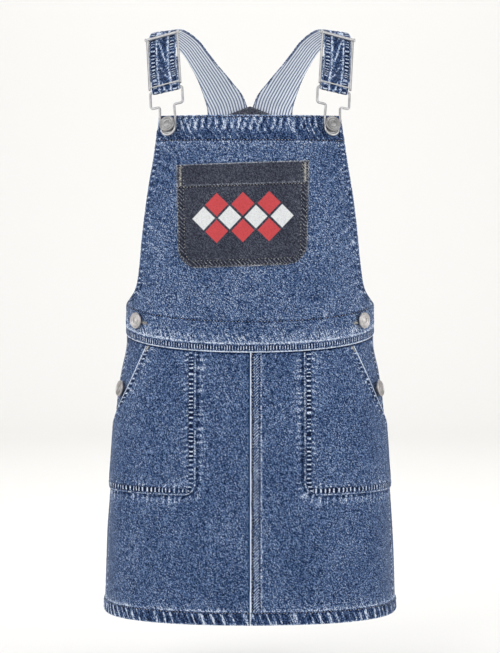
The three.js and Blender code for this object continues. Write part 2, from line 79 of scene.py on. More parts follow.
def read(rows, column, level):
    at = np.array([row["level"] for row in rows], float)
    value = np.array([row[column] for row in rows], float)
    before, after = np.r_[0, 0:len(at) - 1], np.r_[1:len(at), len(at) - 1]
    slope = (value[after] - value[before]) / (at[after] - at[before])
    level = np.clip(level, at[0], at[-1])
    k = np.clip(np.searchsorted(at, level, side="right") - 1, 0, len(at) - 2)
    span = at[k + 1] - at[k]
    t = (level - at[k]) / span
    return (value[k] * (2 * t**3 - 3 * t**2 + 1) + slope[k] * span * (t**3 - 2 * t**2 + t)
            + value[k + 1] * (3 * t**2 - 2 * t**3) + slope[k + 1] * span * (t**3 - t**2))


def bareFigure(turn, level):
    turn, level = np.broadcast_arrays(np.asarray(turn, float), np.asarray(level, float))
    across, along = np.sin(turn), np.cos(turn)
    full = read(figure, "full", level)
    depth = np.where(along > 0, read(figure, "front", level), read(figure, "back", level))
    x = read(figure, "half", level) * across * (1 + full * along**2)
    y = -depth * along * (1 + full * across**2)
    return np.stack([x, y, level], -1)


def unit(v):
    return v / np.linalg.norm(v, axis=-1, keepdims=True)


def acrossFigure(turn, level):
    return bareFigure(turn + smallTurn, level) - bareFigure(turn - smallTurn, level)


def figureNormal(turn, level):
    up = bareFigure(turn, level + 1) - bareFigure(turn, level - 1)
    return unit(np.cross(acrossFigure(turn, level), up))


def onFigure(turn, level, out):
    return bareFigure(turn, level) + figureNormal(turn, level) * np.asarray(out)[..., None]


def reach(turn, level):
    return np.linalg.norm(acrossFigure(turn, level), axis=-1) / (2 * smallTurn)


def turnAt(across, level):
    across, level = np.broadcast_arrays(np.asarray(across, float), np.asarray(level, float))
    low, high = np.zeros(across.shape), np.full(across.shape, np.pi / 2)
    for _ in range(20):
        middle = (low + high) / 2
        inside = bareFigure(middle, level)[..., 0] < np.abs(across)
        low, high = np.where(inside, middle, low), np.where(inside, high, middle)
    return np.sign(across) * low


# How far a point of the cloth is from centre front, measured round the figure
arcTurns, arcLevels = np.linspace(0, np.pi, 241), np.linspace(-640, -60, 117)
arcSteps = reach(arcTurns[None, :], arcLevels[:, None])
arcSteps = (arcSteps[:, 1:] + arcSteps[:, :-1]) / 2 * (arcTurns[1] - arcTurns[0])
arcTable = np.concatenate([np.zeros((len(arcLevels), 1)), np.cumsum(arcSteps, axis=1)], axis=1)


def arcOf(turn, level):
    turn, level = np.broadcast_arrays(np.asarray(turn, float), np.asarray(level, float))
    a = np.clip(np.abs(turn) / (arcTurns[1] - arcTurns[0]), 0, len(arcTurns) - 1.001)
    b = np.clip((level - arcLevels[0]) / (arcLevels[1] - arcLevels[0]), 0, len(arcLevels) - 1.001)
    i, j = a.astype(int), b.astype(int)
    a, b = a - i, b - j
    low = arcTable[j, i] * (1 - a) + arcTable[j, i + 1] * a
    high = arcTable[j + 1, i] * (1 - a) + arcTable[j + 1, i + 1] * a
    return np.sign(turn) * (low * (1 - b) + high * b)


def waistSeam(turn):
    return levels["waistSide"] - levels["waistDip"] * np.maximum(np.cos(turn), 0) ** 1.2


def noise1(x, seed):
    table = np.random.RandomState(seed).rand(2048)
    i = np.floor(x).astype(int)
    f = smooth(x - i)
    return table[i % 2048] * (1 - f) + table[(i + 1) % 2048] * f


def noise2(x, y, seed):
    table = np.random.RandomState(seed).rand(256, 256)
    i, j = np.floor(x).astype(int), np.floor(y).astype(int)
    f, g = smooth(x - i), smooth(y - j)
    i, j, k, l = i % 256, j % 256, (i + 1) % 256, (j + 1) % 256
    return ((table[i, j] * (1 - f) + table[k, j] * f) * (1 - g)
            + (table[i, l] * (1 - f) + table[k, l] * f) * g)


# Ridges that stand across a seam, about one in each pitch, from 0 to 1
def ridges(along, pitch, seed, sharp=1.5, loose=0.9):
    phase = along / pitch + loose * noise1(along / (2.3 * pitch), seed)
    strength = 0.35 + 0.65 * noise1(along / (1.4 * pitch) + 7, seed + 1)
    return (0.5 + 0.5 * np.cos(2 * np.pi * phase)) ** sharp * strength


def between(x, low, high, soft=1.2):
    return smooth((x - low) / soft + 0.5) * smooth((high - x) / soft + 0.5)


def line(x, at, wide):
    return np.exp(-((x - at) / wide) ** 2)


# The step down from doubled cloth to single cloth
def folded(distance, width):
    return smooth((width + 0.5 - distance) / 0.9)


# Distance from points to a path in the flat of the cloth, and how far along it the nearest place is
def nearPath(x, y, path):
    path = np.asarray(path, float)
    along = np.r_[0, np.cumsum(np.linalg.norm(np.diff(path, axis=0), axis=1))]
    shape = x.shape
    x, y = x.ravel(), y.ravel()
    best = np.full(x.shape, 1e9)
    where = np.zeros(x.shape)
    for (ax, ay), (bx, by), start in zip(path[:-1], path[1:], along[:-1]):
        size = max(np.hypot(bx - ax, by - ay), 1e-6)
        share = np.clip(((x - ax) * (bx - ax) + (y - ay) * (by - ay)) / size**2, 0, 1)
        away = np.hypot(x - ax - share * (bx - ax), y - ay - share * (by - ay))
        closer = away < best
        best = np.where(closer, away, best)
        where = np.where(closer, start + share * size, where)
    return best.reshape(shape), where.reshape(shape)


# Soft folds that all layers share: from and to in the flat of the cloth, how deep and how wide
creases = table(
    "fromArc fromLevel toArc toLevel deep wide",
    (-96, -365, -62, -600, -2.2, 20), (70, -520, 98, -628, 2.4, 17), (-30, -500, -52, -630, 2.0, 15),
    (28, -420, 36, -628, -1.8, 16), (120, -370, 150, -620, 1.8, 18), (-160, -400, -150, -625, 2.2, 18),
    (205, -360, 196, -628, -2.4, 20), (-212, -350, -205, -625, -2.4, 19), (262, -350, 270, -625, 3.0, 22),
    (-255, -352, -262, -625, 3.2, 22), (322, -352, 330, -628, -2.6, 20),
    (-318, -350, -326, -628, -2.8, 21), (375, -360, 372, -628, 2.4, 20), (-60, -285, -105, -318, -1.4, 12),
    (62, -280, 108, -316, -1.4, 12), (-95, -160, -78, -262, 1.2, 14), (95, -165, 74, -270, 1.2, 14),
    (300, -330, 345, -250, 1.8, 15), (-296, -328, -340, -262, 1.8, 15), (355, -315, 372, -180, -1.6, 16))


# How far the cloth as a whole stands off the plain figure
def hang(turn, level):
    arc = arcOf(turn, level)
    shift = np.zeros(arc.shape)
    for i, crease in enumerate(creases):
        x, y = arc - crease["fromArc"], level - crease["fromLevel"]
        runX, runY = crease["toArc"] - crease["fromArc"], crease["toLevel"] - crease["fromLevel"]
        size = np.hypot(runX, runY)
        share = (x * runX + y * runY) / size**2
        aside = (x * runY - y * runX) / size + 9 * (noise1(share * 2.3, 40 + i) - 0.5)
        ends = smooth(share / 0.35 + 0.3) * smooth((1.12 - share) / 0.3)
        shift += crease["deep"] * ends * line(aside, 0, crease["wide"])
    calm = smooth((np.abs(level - waistSeam(turn)) - 4) / 26) * smooth((levels["bibTop"] - 6 - level) / 40)
    return (shift + 0.5 * (noise2(arc / 26, level / 34, 5) - 0.5)) * calm


# Places along one side of a piece: marks are millimetres in from an edge, the rest is even
def marks(edges, end, step=spacing["fine"]):
    knots = [0, 0.5] + [edge + off for edge in edges for off in (-0.45, 0.45)] + [end]
    made = []
    for a, b in zip(knots[:-1], knots[1:]):
        count = max(1, round((b - a) / step))
        made += [a + (b - a) * i / count for i in range(count)]
    return made + [end]


def stops(low, high, length, step):
    low, high = (marks(*ends) if ends else [0] for ends in (low, high))
    count = max(2, round((length - low[-1] - high[-1]) / step))
    made = [(0, mm, 0) for mm in low[:-1]]
    made += [(i / count, low[-1], high[-1]) for i in range(count + 1)]
    made += [(1, 0, mm) for mm in high[-2::-1]]
    return np.array(made, float)


def place(stop, a, b, scaleA=1.0, scaleB=1.0):
    share, low, high = stop[..., 0], stop[..., 1], stop[..., 2]
    return (a + low / scaleA) * (1 - share) + (b - high / scaleB) * share


# What each point of a cloth tells its material: how worn it is, with painted shade added in the same
# field, how far it is from a double seam and from a single row of sewing, where it lies between the
# rungs of the seam, and between the ropes of a hem; and how much of that its inner face keeps
fieldStarts = dict(wear=0.0, seamAway=99.0, rowAway=99.0, rungPhase=0.0, rungPower=0.0,
                   ropePhase=0.0, ropePower=0.0)
innerShares = dict(wear=0.15, rungPower=0.0, ropePower=0.0)


def startFields(made, shape):
    made.relief = np.zeros(shape)
    for key, start in fieldStarts.items():
        setattr(made, key, np.full(shape, start))


def sewRow(made, away):
    made.rowAway = np.where(np.abs(away) < np.abs(made.rowAway), away, made.rowAway)


# A turn past centre back counts from the other side
def wrapped(turn):
    return np.where(turn > np.pi, turn - 2 * np.pi, turn)


# A sheet of points on the figure, row by row from its bottom edge, with what the relief needs
class Panel:
    def __init__(self, columns, rows, left, right, bottom, top, out=0.0, thick=cloth["thick"]):
        edges = []
        for edge in (left, right):
            turn = edge(place(rows, bottom(0.0), top(0.0)))
            for _ in range(8):
                turn = edge(place(rows, bottom(turn), top(turn)))
            level = place(rows, bottom(turn), top(turn))
            edges.append((turn[:, None], reach(turn, level)[:, None]))
        (a, scaleA), (b, scaleB) = edges
        self.turn = place(columns[None, :, :], a, b, scaleA, scaleB)
        self.level = place(rows[:, None, :], bottom(self.turn), top(self.turn))
        self.low = self.level - bottom(self.turn)
        self.high = top(self.turn) - self.level
        scale = reach(self.turn, self.level)
        self.left = (self.turn - a) * (scaleA + scale) / 2
        self.right = (b - self.turn) * (scaleB + scale) / 2
        self.arc = arcOf(wrapped(self.turn), self.level)
        self.out, self.thick = out, thick
        startFields(self, self.turn.shape)

    # Adds height to the outer face, and paler or darker cloth with it: wear, and in some places painted shade
    def raiseBy(self, height, wear=0.0):
        self.relief = self.relief + height
        self.wear = self.wear + wear

    def roundEdge(self, distance, drop=0.55, run=1.1):
        self.relief = self.relief - drop * (1 - smooth(distance / run))

    def points(self):
        turn = wrapped(self.turn)
        base, normal = bareFigure(turn, self.level), figureNormal(turn, self.level)
        out = self.out + hang(turn, self.level)
        return base + normal * (out + self.thick + self.relief)[..., None], base + normal * out[..., None]


def addObject(name, data):
    made = bpy.data.objects.new(name, data)
    bpy.context.collection.objects.link(made)
    return made


def meshObject(name, node, material, points, faces, crisp=0.9):
    mesh = bpy.data.meshes.new(name)
    mesh.from_pydata((points * metre).tolist(), [], faces)
    mesh.update()
    mesh.polygons.foreach_set("use_smooth", np.ones(len(mesh.polygons), bool))
    mesh.set_sharp_from_angle(angle=crisp)
    mesh.materials.append(material)
    made = addObject(name, mesh)
    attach(made, "root")
    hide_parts(node)
    return made


# The faces of the closed shell between an outer and an inner grid of points
def shellFaces(rows, columns):
    r, c = np.meshgrid(np.arange(rows - 1), np.arange(columns - 1), indexing="ij")
    at = (r * columns + c).ravel()
    under = rows * columns
    outer = np.stack([at, at + 1, at + columns + 1, at + columns], 1)
    inner = outer[:, ::-1] + under

    def rim(a, b):
        return np.stack([a, a + under, b + under, b], 1)

    bottom, side = np.arange(columns - 1), np.arange(rows - 1) * columns
    last = (rows - 1) * columns
    return np.concatenate([
        outer, inner,
        rim(bottom, bottom + 1), rim(bottom + last + 1, bottom + last),
        rim(side + columns, side), rim(side + columns - 1, side + 2 * columns - 1)])


# Every cloth piece that is made, by name, with what the threads and the printed cut sizes need
cloths = {}


def sewShell(name, node, slotName, material, source, outer, inner, flat, rests):
    points = np.concatenate([outer.reshape(-1, 3), inner.reshape(-1, 3)])
    faces = shellFaces(*outer.shape[:2])
    corner = points[faces]
    facing = sum(np.sum(corner[:, 0] * np.cross(corner[:, k], corner[:, k + 1])) for k in (1, 2))
    if facing < 0:
        faces = faces[:, ::-1]
    made = meshObject(name, node, material, points, faces.tolist())
    mesh = made.data
    fields = {"inside": np.repeat([0.0, 1.0], len(points) // 2)}
    for key in fieldStarts:
        values = getattr(source, key).ravel()
        fields[key] = np.concatenate([values, innerShares.get(key, 1.0) * values])
    for key, values in fields.items():
        mesh.attributes.new(key, "FLOAT", "POINT").data.foreach_set("value", values.astype(np.float32))
    order = np.empty(len(mesh.loops), int)
    mesh.loops.foreach_get("vertex_index", order)
    uv = np.tile(flat.reshape(-1, 2), (2, 1))[order].astype(np.float32).ravel()
    mesh.uv_layers.new(name="clothFlat").data.foreach_set("uv", uv)
    cloths[name] = dict(made=made, node=node, slot=slotName, outer=outer, inner=inner,
                        source=source, rests=rests, threads=[])


def sew(name, node, panel, material, rests, slotName="denim"):
    outer, inner = panel.points()
    flat = np.stack([panel.arc, panel.level], -1)
    sewShell(name, node, slotName, material, panel, outer, inner, flat, rests)


# Wraps a socket so that values are worked out as plain expressions
class Flow:
    def __init__(self, tree, socket=None):
        self.tree = tree
        self.socket = socket

    def node(self, kind, settings=None, sockets=None, output=0):
        made = self.tree.nodes.new(kind)
        for key, value in (settings or {}).items():
            if key == "stops":
                ramp = made.color_ramp
                while len(ramp.elements) < len(value):
                    ramp.elements.new(0.5)
                for element, (position, colour) in zip(ramp.elements, value):
                    element.position, element.color = position, colour
            else:
                setattr(made, key, value)
        for key, value in (sockets or {}).items():
            if isinstance(value, Flow):
                self.tree.links.new(value.socket, made.inputs[key])
            else:
                made.inputs[key].default_value = value
        return Flow(self.tree, made.outputs[output]) if len(made.outputs) else made

    def maths(self, operation, *values, clamp=False):
        settings = {"operation": operation, "use_clamp": clamp}
        return self.node("ShaderNodeMath", settings, dict(enumerate(values)))

    def __add__(self, other):
        return self.maths("ADD", self, other)

    def __sub__(self, other):
        return self.maths("SUBTRACT", self, other)

    def __rsub__(self, other):
        return self.maths("SUBTRACT", other, self)

    def __mul__(self, other):
        return self.maths("MULTIPLY", self, other)

    __radd__, __rmul__ = __add__, __mul__

    def clamped(self):
        return self.maths("ADD", self, 0.0, clamp=True)


def linear(rgb):
    return [((c / 255 + 0.055) / 1.055) ** 2.4 if c > 10 else c / 255 / 12.92 for c in rgb] + [1.0]


def startMaterial(name):
    material = bpy.data.materials.new(name)
    material.use_nodes = True
    material.node_tree.nodes.clear()
    return material, Flow(material.node_tree)


def finishMaterial(flow, sockets):
    shader = flow.node("ShaderNodeBsdfPrincipled", {}, sockets)
    flow.node("ShaderNodeOutputMaterial", {}, {"Surface": shader})


def attribute(flow, name):
    return flow.node("ShaderNodeAttribute", {"attribute_name": name}, output="Fac")


def noisy(flow, where, scale, detail, dimensions="2D", rough=0.5):
    return flow.node("ShaderNodeTexNoise", {"noise_dimensions": dimensions}, {
        "Vector": where, "Scale": scale, "Detail": detail, "Roughness": rough})


def mixed(flow, share, low, high, blend="MIX"):
    return flow.node("ShaderNodeMix", {"data_type": "RGBA", "blend_type": blend}, {
        0: share, 6: low, 7: high}, output=2)


def bumped(flow, height, strength=0.4, distance=0.0004):
    return flow.node("ShaderNodeBump", {}, {"Strength": strength, "Distance": distance, "Height": height})


# Values to change: how sharp rungs and ropes are, and how much each mark lightens or darkens; pull and row
# set the painted shade along the rows of sewing
drawing = dict(rungSharp=2.3, ropeSharp=8.0, rung=3.9, rungDrop=1.7, pull=0.9, pullWide=0.7,
               row=1.3, rowShadeWide=0.75, rope=2.3, strands=4.5, ropeDrop=0.3)


# The rungs between two rows of sewing, the painted shade in the grooves that the rows pull in, and the ropes
# of a hem
def drawnMarks(flow, thin):
    d = drawing
    away, phase, power, row, ropePhase, ropePower = (attribute(flow, name) for name in (
        "seamAway", "rungPhase", "rungPower", "rowAway", "ropePhase", "ropePower"))

    def wave(phase, sharp):
        return flow.maths("POWER", flow.maths("COSINE", phase * (2 * np.pi)) * 0.5 + 0.5, sharp)

    def dark(distance, wide):
        return flow.maths("EXPONENT", distance * distance * (-1 / wide**2))

    near, far = doubleRows
    inside = ((away - (near + 0.1)) * 1.6).clamped() * ((far - 0.1 - away) * 1.6).clamped()
    # Painted shade in the grooves and needle holes along both rows of a double seam
    rows = dark(away - near, d["pullWide"]) + dark(away - far, d["pullWide"])
    rungs = inside * (wave(phase, d["rungSharp"]) * d["rung"] - d["rungDrop"])
    ladders = power * (rungs - rows * d["pull"])
    ropes = wave(ropePhase, d["ropeSharp"]) * d["rope"] + thin * d["strands"] - d["ropeDrop"]
    # Single rows of sewing get the same painted shade
    return ladders - dark(row, d["rowShadeWide"]) * d["row"] + ropePower * ropes


# Values to change: how the twill leans, and how much each mottling, the wear with its painted shade and the
# inside count
weave = dict(angle=-0.85, specks=0.85, twill=0.06, slubs=0.03, broad=0.1, wear=0.25, inside=0.12)


def denimCloth(name, shades, base, speckle=1.0, printed=None):
    material, flow = startMaterial(name)
    flat = flow.node("ShaderNodeUVMap", {"uv_map": "clothFlat"})

    def turned(long, wide, angle):
        return flow.node("ShaderNodeMapping", {"vector_type": "TEXTURE"}, {
            "Vector": flat, "Rotation": (0, 0, angle), "Scale": (long, wide, 1)})

    def mottle(long, wide, angle=0.0):
        return noisy(flow, turned(long, wide, angle), 1.0, 0.0) - 0.5

    cell = flow.node("ShaderNodeTexVoronoi", {"voronoi_dimensions": "2D"}, {
        "Vector": turned(0.95, 0.55, weave["angle"]), "Scale": 1.0}, output="Color")
    specks = flow.node("ShaderNodeSeparateColor", {}, {"Color": cell}) - 0.5
    twill, slubs = mottle(4.2, 0.9, weave["angle"]), mottle(1.1, 5.5)
    grain = (specks * weave["specks"] + twill * weave["twill"] + slubs * weave["slubs"]) * speckle
    drawn = drawnMarks(flow, mottle(8.0, 1.15, 1.92))
    # The wear field brings wear and painted shade, and the drawn marks bring painted shade along the rows of
    # sewing
    marked = (attribute(flow, "wear") + drawn) * weave["wear"] + attribute(flow, "inside") * weave["inside"]
    value = (grain + mottle(70, 38, 1.3) * weave["broad"] + base + marked).clamped()
    ramp = [(at, linear(shade)) for at, shade in shades]
    colour = flow.node("ShaderNodeValToRGB", {"stops": ramp}, {"Fac": value})
    if printed:
        colour = printed(flow, flat, colour, grain)
    finishMaterial(flow, {
        "Base Color": colour, "Roughness": 0.98 - value * 0.16,
        "Normal": bumped(flow, specks * 0.6 + twill * 0.4 + slubs * 0.2 + drawn * 0.6),
        "Sheen Weight": 0.06, "Sheen Roughness": 0.5, "Specular IOR Level": 0.12})
    return material


# A band of diamonds in two colours, row over row, printed on the chest pocket
diamonds = dict(middle=-207, aside=-7.5, tilt=0.035, wide=27.5, tall=28, line=0.455, across=1.8, rows=0.6,
                pale=(214, 216, 217), red=(190, 72, 76), worn=(150, 152, 158))


def harlequin(flow, flat, colour, grain):
    d = diamonds
    x = flow.node("ShaderNodeSeparateXYZ", {}, {"Vector": flat}, output="X") - d["aside"]
    y = flow.node("ShaderNodeSeparateXYZ", {}, {"Vector": flat}, output="Y") - d["middle"] - x * d["tilt"]
    u, v = x * (1 / d["wide"]), y * (1 / d["tall"])
    p, q = u + v, u - v
    i, j = flow.maths("FLOOR", p), flow.maths("FLOOR", q)
    far = flow.maths("MAXIMUM", *(flow.maths("ABSOLUTE", offset) for offset in (p - i - 0.5, q - j - 0.5)))
    shown = ((d["line"] - far + grain * 0.02) * 30).clamped()
    for centre, reachOut in ((i + j + 1, 2 * d["across"]), (i - j, 2 * d["rows"])):
        shown = shown * flow.maths("LESS_THAN", flow.maths("ABSOLUTE", centre), reachOut)
    odd = flow.maths("FLOORED_MODULO", i + j, 2.0)
    ink = mixed(flow, odd, linear(d["pale"]), linear(d["red"]))
    ink = mixed(flow, (grain * 0.9 + 0.1).clamped(), ink, linear(d["worn"]), "MULTIPLY")
    return mixed(flow, shown, colour, ink)


washedShades = [(0.0, (3, 12, 34)), (0.22, (17, 35, 68)), (0.4, (36, 57, 94)), (0.5, (51, 73, 112)),
                (0.62, (69, 92, 131)), (0.8, (112, 134, 169)), (1.0, (204, 213, 227))]
darkShades = [(0.0, (8, 9, 16)), (0.25, (28, 30, 40)), (0.5, (49, 53, 66)),
              (0.7, (80, 85, 98)), (1.0, (172, 176, 182))]
bibDenim = denimCloth("washedDenimBib", washedShades, 0.495)
skirtDenim = denimCloth("washedDenimSkirt", washedShades, 0.452)
pocketDenim = denimCloth("washedDenimPocket", washedShades, 0.452)
strapDenim = denimCloth("washedDenimStrap", washedShades, 0.53)
darkDenim = denimCloth("darkDenim", darkShades, 0.48, 0.55)
chestDenim = denimCloth("chestDenim", darkShades, 0.48, 0.55, harlequin)
print("cloth materials made")

# Skirt
skirtRows = stops(([widths["hem"]], 17), ([], 9), 284, spacing["front"])


def belowWaist(turn):
    return waistSeam(turn) - cloth["seamGap"] / 2


def overHem(turn):
    return levels["hem"] + 0 * turn


def sliver(level):
    return cloth["seamGap"] / 2 / reach(0.0, level)


def flatTurn(turn):
    return lambda level: turn + 0 * level


# The two side edges of a piece that is alike on both sides of a turn
def around(middle, edge):
    return (lambda level: middle - edge(level)), (lambda level: middle + edge(level))


def streaks(across, along, wide, long, seed, low, high):
    return smooth((noise2(across / wide, along / long, seed) - low) / (high - low))


# A turned hem, twisted into ropes that lean and curl as they leave the edge and run out past it
def hemRopes(panel, distance, wide, pitch, seed, lean, curl=0.0, strong=1.0):
    leaned = panel.arc - lean * distance - curl * np.maximum(distance - 6, 0)**2
    phase = leaned / pitch + 1.5 * noise1(leaned / (2.1 * pitch), seed)
    body = 0.5 + 0.5 * np.cos(2 * np.pi * phase)
    uneven = noise1(leaned / (1.3 * pitch) + 5, seed + 1)
    inside = between(distance, 0.6, wide - 1.6, 1.4)
    beyond = smooth((distance - wide + 0.4) / 1.2) * np.exp(-np.maximum(distance - wide, 0) / 5.0)
    panel.ropePhase = np.where(inside + beyond > 0.01, phase, panel.ropePhase)
    panel.ropePower = panel.ropePower + strong * (
        inside * (0.35 + 0.75 * uneven) + beyond * (0.15 + 0.5 * uneven))
    panel.raiseBy(inside * 0.8 * (body * (0.5 + 0.7 * uneven) - 0.3),
                  strong * inside * (1.1 * body * (0.3 + uneven) - 0.75))
    panel.raiseBy(0, line(distance, 0.15, 0.7) * (0.5 + 1.6 * noise1(panel.arc / 1.9, seed + 9)))
    pale = beyond * 0.3 + 1.1 * line(distance, wide + 0.8, 0.9) * (0.4 + uneven)
    panel.raiseBy(beyond * 0.5 * (body - 0.3) - 0.25 * line(distance, wide - 1.3, 0.8), strong * pale)
    sewRow(panel, distance - (wide - 1.3))


# Two rows of sewing with the cloth drawn up between them like the rungs of a ladder
def ladder(panel, distance, along, pitch, seed, strong, loose=0.5, spillPitch=1.25, spillReach=4.5):
    phase = along / pitch + loose * noise1(along / (2.3 * pitch), seed) * 2
    power = strong * (0.45 + 0.75 * noise1(along / (1.7 * pitch) + 7, seed + 1))
    mine = distance < panel.seamAway
    for key, values in (("seamAway", distance), ("rungPhase", phase), ("rungPower", power)):
        setattr(panel, key, np.where(mine, values, getattr(panel, key)))
    rungs = (0.5 + 0.5 * np.cos(2 * np.pi * phase))
    inside = between(distance, *doubleRows, 1.6)
    pulled = sum(line(distance, at, 0.9) for at in doubleRows)
    panel.raiseBy(inside * 0.45 * (rungs - 0.5) * power - 0.35 * pulled * min(strong, 1))
    past = distance - seam["far"]
    beyond = smooth(past / 1.2) * np.exp(-np.maximum(past, 0) / spillReach)
    spill = ridges(along + 0.4 * distance, pitch * spillPitch, seed + 4, 2.2)
    panel.raiseBy(beyond * 0.45 * (spill - 0.2), beyond * (2.6 * spill - 0.35) * strong)
    panel.raiseBy(0, (0.3 + 1.7 * noise1(along / 2.6, seed + 8)) * line(distance, 0.2, 0.75))


# Where the patch pockets lie
chestPocket = dict(top=-149.5, bottom=-259, halfTop=69.5, halfBottom=67, corner=21,
                   aside=-7.5, tilt=0.035, topBand=24)
hipPocket = dict(inner=57, bottom=-501, corner=14, side=1.52, border=9)
handOpening = dict(topAcross=109, topLevel=-344, lowAcross=151, lowLevel=-440)


def cornered(edge, level, bottom, corner):
    depth = np.maximum(corner - (level - bottom), 0)
    return edge + corner - np.sqrt(np.maximum(corner**2 - depth**2, 0))


def pocketInner(level):
    return turnAt(cornered(hipPocket["inner"], level, hipPocket["bottom"], hipPocket["corner"]), level)


# The felled seam at centre front, on the panel that has its fold
def centreFell(skirt):
    above = smooth((skirt.low - 13) / 2)
    fold = cloth["foldRise"] * folded(skirt.left, widths["centreFell"])
    skirt.raiseBy(fold * (1 - 0.8 * smooth((widths["hem"] - skirt.low) / 2)),
                  (2.6 + noise1(skirt.level / 5, 63)) * line(skirt.left, 0.5, 0.95))
    distance = np.where(above > 0.3, skirt.left * seam["far"] / 9.9, 99.0)
    ladder(skirt, distance, skirt.level - skirt.left, pitch=2.9, seed=61, strong=0.75, loose=0.25,
           spillPitch=1.0, spillReach=1.5)
    pale = 0.9 * noise1(skirt.level / 17, 65) * between(skirt.left, 3.4, 9.2, 1.5)
    edge = (0.7 + 0.9 * noise1(skirt.level / 3, 64)) * line(skirt.left, 11.4, 0.8)
    # The dark line at 2.4 mm is painted shade along the first row of sewing, the rest is wear
    skirt.raiseBy(0, above * (pale - 1.2 * line(skirt.left, 2.4, 0.8) + edge))
    for at in fellRows:
        sewRow(skirt, np.where(above > 0.3, skirt.left - at, 99))
    skirt.roundEdge(skirt.left)


for side, name in bothSides:
    ends = [([widths["centreFell"]], 15) if side > 0 else ([], 4), ([], 6)][::side]
    edges = [flatTurn(-sideTurn), lambda level: -sliver(level)] if side < 0 else [sliver, flatTurn(sideTurn)]
    skirt = Panel(stops(*ends, 228, spacing["front"]), skirtRows, *edges, overHem, belowWaist)
    skirt.raiseBy(cloth["foldRise"] * folded(skirt.low, widths["hem"]))
    hemRopes(skirt, skirt.low, widths["hem"], pitch=8.8, seed=20 + side, lean=-0.4)
    if side > 0:
        centreFell(skirt)
    else:
        # Painted shade along this panel's edge beside the raised fold of the centre fell
        skirt.raiseBy(0, -1.3 * line(skirt.right, 0.1, 1.2))
    sideSeam = (skirt.right if side > 0 else skirt.left) - seam["sideIn"]
    sideSeam = np.where((skirt.low > widths["hem"] + 1) & (sideSeam > -0.8), np.abs(sideSeam), 99.0)
    ladder(skirt, sideSeam, skirt.level, pitch=6.4, seed=37 + side, strong=1.2, loose=0.8)
    border = [(side * arcOf(pocketInner(level), level), level)
              for level in np.linspace(-345, hipPocket["bottom"], 40)]
    border.append((side * arcOf(sideTurn, hipPocket["bottom"]), hipPocket["bottom"]))
    away, along = nearPath(skirt.arc, skirt.level, border)
    puff = ridges(along, 6.4, 35 + side, 1.3, 1.2)
    # Pale worn puffs beside the pocket's edge, and painted shadow of the puckers right next to the edge
    spill = line(away, 5.5, 4.5) * (1.5 * puff - 0.05) - line(away, 2.2, 1.2) * (1.6 - 2.4 * puff)
    skirt.raiseBy(0.4 * spill, spill)
    # Painted shadow along the top of the skirt under the bib's bottom edge, with pale worn pucker streaks in
    # it
    under = np.exp(-np.maximum(skirt.high, 0) / 3.5)
    tuck = ridges(skirt.arc + 0.6 * skirt.high, 6.5, 31 + side, 1.8)
    skirt.raiseBy(0.4 * under * (tuck - 0.25), under * (2.0 * tuck - 0.9) - 1.2 * line(skirt.high, 0, 1.4))
    skirt.roundEdge(skirt.low)
    sew(f"skirtFront_{name}", f"skirt_front_{name}", skirt, skirtDenim, ["bib_front"])
print("skirt fronts made")


def backSeam(level):
    return sideTurn + cloth["seamGap"] / reach(sideTurn, level)


backRows = stops(([widths["hem"]], 17), ([], 7), 284, spacing["back"])
back = Panel(stops(([], 5), ([], 5), 470, spacing["back"]), backRows,
             backSeam, lambda level: 2 * np.pi - backSeam(level), overHem, belowWaist)
back.raiseBy(cloth["foldRise"] * folded(back.low, widths["hem"]))
hemRopes(back, back.low, widths["hem"], pitch=8.8, seed=27, lean=-0.4)
backSeams = np.where(back.low > widths["hem"] + 1, np.minimum(back.left, back.right), 99.0)
ladder(back, backSeams, back.level, pitch=6.4, seed=39, strong=0.6, loose=0.8)
back.roundEdge(back.low)
sew("skirtBack", "skirt_back", back, skirtDenim, ["bib_back"])


# Bibs
def aboveWaist(turn):
    return waistSeam(turn) + cloth["seamGap"] / 2


bibWaistStitch = 33
bibRows = stops(([widths["waistFell"]], 20), ([widths["bibHem"]], 34), 240, spacing["front"])
sideHem = ([widths["edgeHem"]], 12)
bib = Panel(stops(sideHem, sideHem, 250, spacing["front"]), bibRows,
            *around(0, lambda level: read(frontBibEdge, "turn", level)),
            aboveWaist, flatTurn(levels["bibTop"]))
bibSides = np.minimum(bib.left, bib.right)
bib.raiseBy(cloth["foldRise"] * np.maximum.reduce([
    folded(bib.high, widths["bibHem"]), folded(bib.low, widths["waistFell"]),
    folded(bibSides, widths["edgeHem"])]))
hemRopes(bib, bib.high, widths["bibHem"], pitch=8.0, seed=71, lean=0.12, curl=0.02, strong=0.5)
lowerHem = between(bib.high, 17, 27, 5)
bib.ropePower = bib.ropePower * (1 - 0.4 * lowerHem)
patches = ridges(bib.arc + 0.3 * bib.high, 7.5, 73, 1.2, 0.6)
bib.raiseBy(0, between(bib.high, 2.5, 16, 5) * (2.3 * patches - 0.5) - 0.3 * lowerHem)
sewRow(bib, np.where(bib.low > 14, bib.high - 2.2, 99))
ladder(bib, bib.low, bib.arc, pitch=2.9, seed=81, strong=1.15, loose=0.25, spillPitch=2.1, spillReach=5.0)
bib.raiseBy(0, 1.7 * line(bib.low, 9.8, 0.75) + 1.8 * line(bib.low, 0.5, 0.8))
ladder(bib, np.where(bib.low > 12, bibSides, 99), bib.level, pitch=6.2, seed=91, strong=0.55,
       spillPitch=1.6, spillReach=8.0)
ripple = ridges(bib.level + 0.6 * bibSides, 13.0, 95, 1.6) - 0.3
ripple *= between(bibSides, 8, 26, 12) * smooth((bib.high - 30) / 8) * smooth((bib.low - 60) / 60)
bib.raiseBy(0.9 * ripple, ripple)
sewRow(bib, bib.low - bibWaistStitch)
